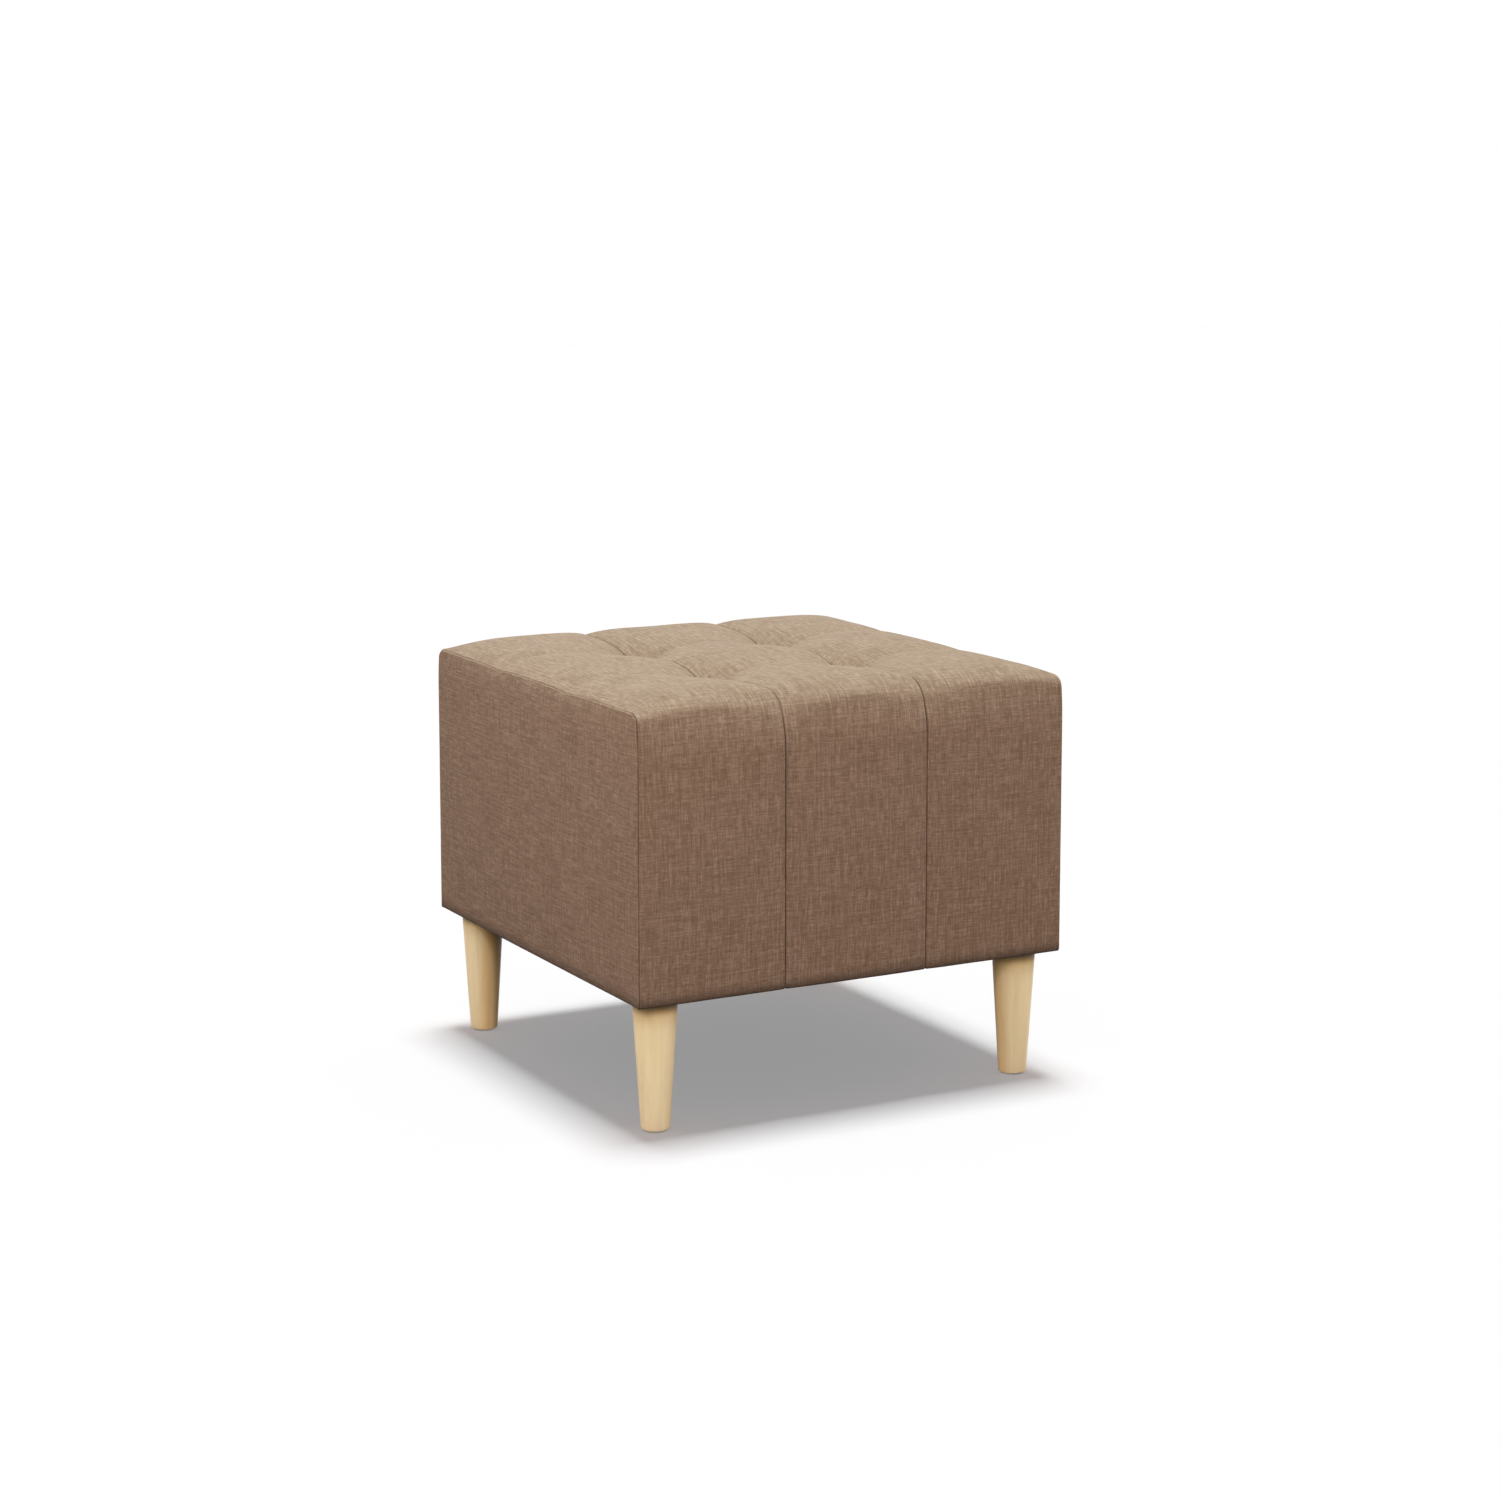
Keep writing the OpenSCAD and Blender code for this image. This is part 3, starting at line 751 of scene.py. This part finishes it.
def makePanel(name, side, node, seed):
    outline = panelOutline()
    away, depth = cornerColumns()
    grid = panelGrid(outline, away[-1])
    rows, columns = grid.shape[:2]
    flat = grid.reshape(-1, 2)
    outwards = panelFace(flat, (rows, columns), outline, seed)
    points = [together(outwards, *flat.T)]
    # Painted shade at the hem and in the turned edge, less painted light towards the top
    uv, crease = [flat.copy()], [hemShade(flat[:, 1]) - paintedTopLight(flat[:, 1])]
    faces = [gridFaces(rows, columns)]

    # The turned edge, row by row outwards from the grid's left, top and right edges
    index = np.arange(rows * columns).reshape(rows, columns)
    last, count = np.concatenate([index[:, 0], index[-1, 1:-1], index[::-1, -1]]), rows * columns
    rim = flat[last]
    outward = besideLine(rim)
    for a, d in list(zip(away, depth))[-2::-1]:
        ring = rim + outward * (away[-1] - a)
        points.append(together(half - d, *ring.T))
        uv.append(rim + outward * (away[-1] - a + d))
        most = sideShade(onTop(ring[:, 1]))
        crease.append(np.maximum(seamShade(d, most), hemShade(ring[:, 1])) - paintedTopLight(ring[:, 1]))
        new = np.arange(count, count + len(ring))
        faces.append(together(last[:-1], last[1:], new[1:], new[:-1]))
        last, count = new, count + len(ring)

    # The fold under the bottom edge and the hem
    last = index[0]
    lowY, lowZ = flat[last].T
    wide = hemWidth(lowY)
    foldSteps = [(math.radians(a), 0.0) for a in np.linspace(0, 90, 6)[1:]]
    foldSteps += [(math.pi / 2, t) for t in np.linspace(0, 1, 8)[1:]]
    for a, t in foldSteps:
        x = outwards[index[0]] - box["fold"] * (1 - math.cos(a))
        x = x + (half - wide - x) * t
        z = np.full(len(last), box["low"] + box["fold"] * (1 - math.sin(a)))
        points.append(together(x, lowY, z))
        uv.append(together(lowY, lowZ - box["fold"] * a - (wide - box["fold"]) * t))
        crease.append(hemShade(z))
        new = np.arange(count, count + len(x))
        faces.append(together(new[:-1], new[1:], last[1:], last[:-1]))
        last, count = new, count + len(x)

    points, uv, faces, crease = [np.concatenate(part) for part in (points, uv, faces, crease)]
    if side < 0:
        points, faces = points * (-1, 1, 1), faces[:, ::-1]
    uv = uv[:, ::-1] + (seed * 0.23, seed * 0.41)  # cut with its warp level
    obj = makePiece(name, points, faces, uv, crease=crease)
    thicken(obj, box["cloth"])
    finishPiece(obj, coverFabric, "cover_fabric", node)


makePanel("coverPanelLeft", -1, "cover_panel_left", 5)
makePanel("coverPanelRight", 1, "cover_panel_right", 6)
print("cover panels made")


# Inside the cover: fibre wadding, the seat foam and the foam on the four sides

inner = {
    "half": 0.2732,
    "waddingInset": 0.0022, "waddingThick": 0.0078, "waddingFluff": 0.0006, "waddingLump": 0.006,
    "foamInset": 0.0103, "foamFluff": 0.0002, "foamLump": 0.02,
    "foamWall": 0.0005,  # height of the foam's outermost edge
    "cushionZ": 0.4121,  # underside of both
    "edgeRound": 0.0045, "edgeRoom": 1.6,  # the edge gives way to the turned-in seams there
    "seamRoom": 0.0026, "seamFrom": 0.0015, "seamFade": 0.004,
    "steps": {"face": 12, "roll": 14, "slope": 16, "pillow": 16},
    "across": 121,
}


def roomForSeams(x):
    # Extra depth under the seams between the strips and along the sides
    atSeam = np.clip(1 - (fromFold(x) - inner["seamFrom"]) / inner["seamFade"], 0, 1)
    atSide = np.clip(1 - (inner["half"] - np.abs(x)) / inner["edgeRound"], 0, 1) ** 2
    return inner["seamRoom"] * np.maximum(atSeam, inner["edgeRoom"] * atSide)


def closedShell(name, outer, under, seed, fluff, lump):
    # A solid between two grids of the same size, with walls all round
    rows, columns = outer.shape[:2]
    edge = np.ones((rows, columns))
    edge[:2] = edge[-2:] = edge[:, :2] = edge[:, -2:] = 0
    outer = outer - gridNormals(outer) * (fluff * (1 + unevenness(outer, lump, seed)) / 2 * edge)[..., None]
    index = np.arange(rows * columns).reshape(rows, columns)
    ring = np.concatenate([index[0], index[1:, -1], index[-1, -2::-1], index[-2:0:-1, 0]])
    ringLow = ring + rows * columns
    walls = together(ring, ringLow, np.roll(ringLow, -1), np.roll(ring, -1))
    top = gridFaces(rows, columns)
    faces = np.concatenate([top, top[:, ::-1] + rows * columns, walls])
    return makePiece(name, np.concatenate([outer.reshape(-1, 3), under.reshape(-1, 3)]), faces)


def cushionGrid(x, depth):
    ys, zs = fullLines(x, depth + 0 * x, inner["steps"], startZ=inner["cushionZ"])
    return together(x, ys, zs)


def softMaterial(name, colours, scale, bumpHeight, fibres=0.0):
    # Cloudy tones, with long fibres, or else with pores
    material, tree = newMaterial(name)
    place = addNode(tree, "TexCoord").outputs["Object"]
    cloud = addNoise(tree, {"Vector": place, "Scale": 18.0, "Detail": 3.0})
    if fibres:
        pores = addNoise(tree, {"Vector": place, "Scale": scale, "Detail": 4.0, "Distortion": fibres})
    else:
        pores = addCells(tree, place, scale * 0.8)
    level = addMath(tree, "MULTIPLY_ADD", cloud, 0.35, addMath(tree, "MULTIPLY", pores, 0.65))
    addSurface(tree, {
        "Base Color": addTones(tree, level, (0.15, colours[0]), (0.65, colours[1])), "Roughness": 0.95,
        "Normal": addBump(tree, 0.6, bumpHeight, pores), "Specular IOR Level": 0.2})
    return material


waddingFibre = softMaterial("waddingFibre", ((0.70, 0.70, 0.67), (0.88, 0.88, 0.86)), 260.0, 0.0012, 2.5)
foamCream = softMaterial("foamCream", ((0.66, 0.58, 0.38), (0.86, 0.79, 0.58)), 900.0, 0.0005)


def makeCushion():
    x = np.linspace(-inner["half"], inner["half"], inner["across"])
    outer = cushionGrid(x, inner["waddingInset"] + roomForSeams(x))
    under = cushionGrid(x, inner["waddingInset"] + inner["waddingThick"])
    wadding = closedShell("topWadding", outer, under, 11, inner["waddingFluff"], inner["waddingLump"])
    finishPiece(wadding, waddingFibre, "wadding", "top_wadding")

    outer = cushionGrid(x, inner["foamInset"])
    base = outer.copy()
    base[..., 2] = inner["cushionZ"]
    outer[0, :, 2] = outer[-1, :, 2] = inner["cushionZ"] + inner["foamWall"]
    foam = closedShell("seatFoam", outer, base, 12, inner["foamFluff"], inner["foamLump"])
    finishPiece(foam, foamCream, "foam", "seat_foam")


sideFoam = {
    "boardHalf": 0.2612,  # the boards it lies on, from the middle
    "low": 0.1522, "top": 0.4118,
    "endRoom": 0.003, "cornerRoom": 0.0003,  # left free at the ends of the long ones and of the short ones
    "columns": 56, "rows": 28,
    "edge": 0.006, "edgeFall": 0.0022,  # width and depth of the rounding
    "seamWide": 0.012, "seamDent": 0.0006,
    "grain": 0.0002, "grainScale": 40,
}


def makeSideFoam(side, x0, y0, x1, y1):
    # A foam sheet with softly rounded edges, a little hollow where the seams press on it
    alongX = side in ("Front", "Back")
    length, thick = (x1 - x0, y1 - y0) if alongX else (y1 - y0, x1 - x0)
    tall = sideFoam["top"] - sideFoam["low"]
    slab = bmesh.new()
    bmesh.ops.create_grid(slab, x_segments=sideFoam["columns"], y_segments=sideFoam["rows"], size=0.5)
    for vert in slab.verts:
        along, up = vert.co.x * length, vert.co.y * tall
        fromEdge = min(length / 2 - abs(along), tall / 2 - abs(up))
        bend = sideFoam["edgeFall"] * max(0.0, 1 - fromEdge / sideFoam["edge"]) ** 2
        if alongX:
            bend += sideFoam["seamDent"] * max(0.0, 1 - abs(abs(along) - span) / sideFoam["seamWide"])
        grain = noise.noise((along * sideFoam["grainScale"], up * sideFoam["grainScale"], 7.0))
        bend += sideFoam["grain"] * (1 + grain)
        vert.co = (along, up, thick / 2 - bend)
    copy = bmesh.ops.duplicate(slab, geom=slab.verts[:] + slab.edges[:] + slab.faces[:])["geom"]
    for item in copy:
        if isinstance(item, bmesh.types.BMVert):
            item.co.z = -thick / 2
    bmesh.ops.reverse_faces(slab, faces=[item for item in copy if isinstance(item, bmesh.types.BMFace)])
    bmesh.ops.bridge_loops(slab, edges=[edge for edge in slab.edges if edge.is_boundary])
    bmesh.ops.recalc_face_normals(slab, faces=slab.faces)
    outwards = -1 if side in ("Front", "Left") else 1
    centre = Vector(((x0 + x1) / 2, (y0 + y1) / 2, sideFoam["low"] + tall / 2))
    for vert in slab.verts:
        along, up, out = vert.co
        vert.co = centre + Vector((along, out * outwards, up) if alongX else (out * outwards, along, up))
    bmesh.ops.recalc_face_normals(slab, faces=slab.faces)
    mesh = bpy.data.meshes.new("sideFoam" + side)
    slab.to_mesh(mesh)
    slab.free()
    smooth(mesh)
    obj = addObject("sideFoam" + side, mesh)
    finishPiece(obj, foamCream, "foam", "side_foam_" + side.lower())


def makeSideFoams():
    board, wide = sideFoam["boardHalf"], inner["half"]
    deep, end, corner = wide - rounding["sink"], wide - sideFoam["endRoom"], board - sideFoam["cornerRoom"]
    makeSideFoam("Front", -end, -deep, end, -board)
    makeSideFoam("Back", -end, board, end, deep)
    makeSideFoam("Left", -wide, -corner, -board, corner)
    makeSideFoam("Right", board, -corner, wide, corner)


makeCushion()
makeSideFoams()
print("wadding and foam made")


# Wood, board, steel and plastic

beech = {
    "dark": (0.28, (0.78, 0.585, 0.325)), "light": (0.66, (0.92, 0.74, 0.465)),
    "rings": 55.0, "flecks": 420.0, "fleckDepth": 0.45, "roughness": 0.42, "coat": 0.05,
    "creaseShade": 0.92, "warmShade": (-0.03, -0.16, -0.32),  # the shade painted on a leg is warm
}
dowel = {**beech, "fleckDepth": 0.5, "roughness": 0.6, "coat": 0.0, "warmShade": None}
pine = {
    "dark": (0.28, (0.50, 0.33, 0.15)), "light": (0.66, (0.74, 0.56, 0.32)),
    "rings": 38.0, "flecks": 200.0, "fleckDepth": 0.25, "roughness": 0.7, "coat": 0.0, "warmShade": None,
}


def alongGrain(tree, place, axis, share):
    # The place with its scale along the grain cut down to a share, which draws a pattern out that way
    scale = [share if way == axis else 1.0 for way in "XYZ"]
    return addNode(tree, "Mapping", {"Vector": place, "Scale": scale}).outputs[0]


def grainMaterial(name, wood, axis, centre=(0, 0, 0)):
    # Timber: long soft growth rings, and short dark flecks that lie along the grain
    material, tree = newMaterial(name)
    place = addNode(tree, "TexCoord").outputs["Object"]
    moved = addVectorMath(tree, "SUBTRACT", place, centre)
    ring = addNoise(tree, {
        "Vector": alongGrain(tree, moved, axis, 0.045), "Scale": wood["rings"], "Detail": 4.0,
        "Roughness": 0.6, "Distortion": 0.4})
    flecks = addCells(tree, alongGrain(tree, moved, axis, 0.09), wood["flecks"])
    fleckMask = addNode(tree, "MapRange", {
        "Value": flecks, "From Min": 0.10, "From Max": 0.26,
        "To Min": wood["fleckDepth"], "To Max": 0.0}).outputs[0]
    level = addMath(tree, "SUBTRACT", ring, addMath(tree, "MULTIPLY", fleckMask, 0.25))
    colour = addTones(tree, level, wood["dark"], wood["light"])
    # A leg's colour carries painted shade, and a painted warm tint in that shade
    if wood["warmShade"]:
        left = addVectorMath(tree, "MULTIPLY_ADD", attribute(tree, "warmth"), wood["warmShade"], (1, 1, 1))
        colour = shaded(tree, addVectorMath(tree, "MULTIPLY", colour, left), wood["creaseShade"])
    addSurface(tree, {
        "Base Color": colour, "Roughness": wood["roughness"], "Normal": addBump(tree, 0.15, 0.0002, level),
        "Specular IOR Level": 0.22, "Coat Weight": wood["coat"], "Coat Roughness": 0.4})
    return material


def plainMaterial(name, colours, scale, roughness, metallic=0.0, stretch=(1, 1, 1), bumpHeight=0.0002):
    # Two close tones broken up by fine noise, with the same noise in the relief
    material, tree = newMaterial(name)
    place = addNode(tree, "TexCoord").outputs["Object"]
    scaled = addNode(tree, "Mapping", {"Vector": place, "Scale": stretch}).outputs[0]
    grain = addNoise(tree, {"Vector": scaled, "Scale": scale, "Detail": 4.0, "Roughness": 0.65})
    addSurface(tree, {
        "Base Color": addTones(tree, grain, (0.3, colours[0]), (0.7, colours[1])), "Roughness": roughness,
        "Metallic": metallic, "Normal": addBump(tree, 0.3, bumpHeight, grain)})
    return material


pineX, pineY, pineZ = [grainMaterial("pine" + axis, pine, axis) for axis in "XYZ"]
dowelBeech = grainMaterial("dowelBeech", dowel, "Z")
plywood = plainMaterial("plywood", ((0.55, 0.39, 0.20), (0.72, 0.55, 0.33)), 60.0, 0.75, stretch=(0.08, 1, 9))
hardboard = plainMaterial("hardboard", ((0.10, 0.055, 0.03), (0.20, 0.115, 0.06)), 500.0, 0.6)
zincSteel = plainMaterial("zincSteel", ((0.52, 0.52, 0.50), (0.70, 0.70, 0.68)), 300.0, 0.35, metallic=1.0)
waxedTwine = plainMaterial("waxedTwine", ((0.45, 0.4, 0.31), (0.72, 0.67, 0.56)), 350, 0.7, stretch=(1, 1, 3))
glidePlastic = plainMaterial("glidePlastic", ((0.66, 0.64, 0.58), (0.74, 0.72, 0.66)), 150.0, 0.45)

finishes = {  # by how the node's name starts, the first that fits
    ("seat_deck",): plywood, ("board_",): hardboard, ("rail_dowels",): dowelBeech, ("post_",): pineZ,
    ("top_rail_front", "top_rail_back", "bottom_rail_front", "bottom_rail_back"): pineX,
    ("top_rail_", "bottom_rail_"): pineY, ("tuft_twines",): waxedTwine, ("glide_",): glidePlastic,
    ("tuft_washers", "deck_screws", "leg_bolts", "leg_inserts"): zincSteel,
}
for nodeName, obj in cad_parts.items():
    finish = next((material for starts, material in finishes.items() if nodeName.startswith(starts)), None)
    if finish:
        for holder in obj.material_slots:
            holder.material = finish
print("carried-over parts finished")


# Turned beech legs

leg = {
    "at": 0.2357,  # its axis, from the middle each way
    "low": 0.002, "top": 0.149, "footR": 0.0165, "topR": 0.0255, "footEdge": 0.0016, "topEdge": 0.0008,
    "around": 96, "up": 40,
    "contact": 0.0155, "contactShade": 0.92,  # the painted shade close under the box, and how far down it reaches
    "tail": 0.20, "tailFall": 0.022,  # the softer one below it
    "reach": 0.042, "reachFall": 0.022,  # further in under the box the shade goes on down the leg
    "frontShade": 13, "backShade": 29, "mostShade": 0.6, "shadePower": 2.2,
    "warmFrom": 0.024, "warmTo": 0.034,  # distances in under the box between which the painted tint of the side turns warm
    "warmLight": 0.7, "warmLightTo": 0.15,  # painted warm tint that comes with light shade
    "warmDeep": 0.8, "warmDeepAt": (0.1, 0.6),  # and with deep shade
    # painted light on the lowest part of the leg, and the height up to which it reaches
    "footLight": 0.07, "footHigh": 0.05,
}


def legOutline():
    foot, top = leg["footEdge"], leg["topEdge"]
    points = [(0.0, leg["low"])]
    for a in np.radians(np.linspace(-90, -4, 7)):
        points.append((leg["footR"] - foot * (1 - math.cos(a)), leg["low"] + foot * (1 + math.sin(a))))
    lowZ, highZ = points[-1][1], leg["top"] - top
    for t in np.linspace(0, 1, leg["up"])[1:]:
        points.append((leg["footR"] + (leg["topR"] - leg["footR"]) * t, lowZ + (highZ - lowZ) * t))
    for a in np.radians(np.linspace(15, 90, 5)):
        points.append((leg["topR"] - top * (1 - math.cos(a)), highZ + top * math.sin(a)))
    points.append((0.0, leg["top"]))
    return points


def legShade(points):
    # Shade painted into the leg's colour where the box keeps light off the top of the leg, and off the side
    # that stands further in under it, with a painted warm tint in it and painted light at the foot
    depth = leg["top"] - points[:, 2]
    inset = half - np.max(np.abs(points[:, :2]), axis=1)
    growth = leg["frontShade"] if points[0, 1] < 0 else leg["backShade"]
    under = growth * np.maximum(inset - leg["reach"] * (1 - np.exp(-depth / leg["reachFall"])), 0)
    lit = 1 - leg["contactShade"] * (1 - smoothStep(depth, 0.0, leg["contact"]))
    lit = lit * (1 - np.minimum(under, leg["mostShade"])) ** leg["shadePower"]
    lit *= 1 - leg["tail"] * np.exp(-(depth / leg["tailFall"]) ** 2)
    warmth = np.maximum(smoothStep(inset, leg["warmFrom"], leg["warmTo"]),
                        leg["warmLight"] * smoothStep(1 - lit, 0.0, leg["warmLightTo"]))
    warmth += leg["warmDeep"] * smoothStep(1 - lit, *leg["warmDeepAt"])
    lit *= 1 + leg["footLight"] * (1 - smoothStep(points[:, 2], 0.0, leg["footHigh"]))
    return (1 - lit) / beech["creaseShade"], warmth


def makeLeg(name, node, sx, sy, seed):
    outline = legOutline()
    turns = np.linspace(0, 2 * math.pi, leg["around"], endpoint=False)
    points = [(0, 0, outline[0][1])]
    for r, z in outline[1:-1]:
        points += [(r * math.cos(a), r * math.sin(a), z) for a in turns]
    rings = np.arange(1, len(points)).reshape(-1, len(turns))
    faces = [(0, b, a) for a, b in zip(rings[0], np.roll(rings[0], -1))] + tubeFaces(rings)
    faces += [(a, b, len(points)) for a, b in zip(rings[-1], np.roll(rings[-1], -1))]
    points.append((0, 0, outline[-1][1]))

    x, y = sx * leg["at"], sy * leg["at"]
    points = np.array(points) + (x, y, 0)
    crease, warmth = legShade(points)
    obj = makePiece(name, points, faces, crease=crease, warmth=warmth)
    grainAt = (x + 0.05 * seed, y + 0.07 * seed, 0.3 * seed)  # so each leg has its own grain
    finishPiece(obj, grainMaterial(name + "Beech", beech, "Z", grainAt), "beech", node)


makeLeg("legFrontLeft", "leg_front_left", -1, -1, 1)
makeLeg("legFrontRight", "leg_front_right", 1, -1, 2)
makeLeg("legBackLeft", "leg_back_left", -1, 1, 3)
makeLeg("legBackRight", "leg_back_right", 1, 1, 4)
print("legs made")


# Staples: crowns of round wire that lie on the folded edge of the dust cover, with legs up into the rails

staple = {
    "long": 0.010, "wire": 0.0006, "leg": 0.0015, "bend": 0.0006, "bendUp": 0.0001,
    "gap": 0.047, "eachWay": 4,  # from the middle of a side
    "sides": 6,
}
dust = {
    "half": 0.264, "top": 0.1498, "thick": 0.0008,
    "edge": 0.014,  # width of the fold, which is double
    "edgeRound": 0.0015, "edgeStep": 0.002, "foldFrom": 0.001,
    "cells": 33, "cellsTo": 0.212,
    "sag": 0.00025, "sagScale": 14,
    "hole": 0.005, "holePatch": 0.010,  # radius round a leg bolt, and half the width of the cell round it
    "flat": (0.556, 0.556),  # with a 14 mm fold on each side
}


def makeStaples():
    wire, low = staple["wire"] / 2, dust["top"] - dust["thick"]
    end, sides = staple["long"] / 2, staple["sides"]
    path = [(-end, staple["leg"]), (-end, staple["bendUp"]), (-end + staple["bend"], -wire * 0.8)]
    path += [(-along, up) for along, up in path[::-1]]
    turns = np.radians(np.arange(sides) * 360 / sides)
    points, faces = [], []
    for axis, side, k in product((0, 1), (-1, 1), range(-staple["eachWay"], staple["eachWay"] + 1)):
        centre, across = k * staple["gap"], side * (dust["half"] - dust["edge"] / 2)
        start = len(points)
        for (along, up), a in product(path, turns):
            x, y, z = centre + along, across + wire * math.cos(a), low + up + wire * math.sin(a)
            points.append((x, y, z) if axis == 0 else (y, x, z))
        rings = np.arange(start, len(points)).reshape(-1, sides)
        new = tubeFaces(rings) + [rings[0, ::-1], rings[-1]]
        faces += [face if axis == 0 else face[::-1] for face in new]
    obj = makePiece("dustStaples", points, faces)
    return finishPiece(obj, zincSteel, "steel")


# Dust cover under the frame, with its folded edge

def dustLines():
    # The lines of its grid, and which of its cells, counted either way, have a leg bolt through them
    wide, at, patch = dust["half"], leg["at"], dust["holePatch"]
    lines = [wide, wide - dust["edgeRound"], wide - dust["edge"] + dust["edgeStep"], at + patch, at - patch]
    lines += [-v for v in lines] + list(np.linspace(-dust["cellsTo"], dust["cellsTo"], dust["cells"]))
    lines = np.array(sorted(lines))
    return lines, [int(np.argmin(abs(lines - (side * at - patch)))) for side in (-1, 1)]


def makeDustCover():
    lines, holes = dustLines()
    count, scale = len(lines), dust["sagScale"]
    points = [(x, y, dust["top"] + min(0.0, dust["sag"] * noise.noise((x * scale, y * scale, 3.0))))
              for x, y in product(lines, lines)]
    faces = []
    for i, j in product(range(count - 1), repeat=2):
        a, b = i * count + j, (i + 1) * count + j
        if i not in holes or j not in holes:
            faces.append((a, a + 1, b + 1, b))
            continue
        corners, start = [a, b, b + 1, a + 1], len(points)
        x, y = (lines[i] + lines[i + 1]) / 2, (lines[j] + lines[j + 1]) / 2
        points += [(x + dust["hole"] * math.cos(t), y + dust["hole"] * math.sin(t), dust["top"])
                   for t in np.radians(np.arange(-135, 225, 22.5))]
        for k in range(4):
            arc = [start + (4 * k + m) % 16 for m in range(5)]
            faces.append((corners[(k + 1) % 4], corners[k], *arc))
    obj = makePiece("dustCover", points, faces)
    rim = obj.vertex_groups.new(name="fold")
    for vert in obj.data.vertices:
        fromEdge = dust["half"] - max(abs(vert.co.x), abs(vert.co.y))
        rim.add([vert.index], 1.0 if fromEdge < dust["edge"] - dust["foldFrom"] else 0.5, "REPLACE")
    thicken(obj, dust["thick"], "fold")
    tones = ((0.006, 0.006, 0.007), (0.022, 0.022, 0.024))
    cloth = plainMaterial("dustCloth", tones, 700.0, 0.9, bumpHeight=0.0003)
    finishPiece(obj, cloth, "dust_cloth", "dust_cover")
    staples = makeStaples()


makeDustCover()
print("dust cover made")
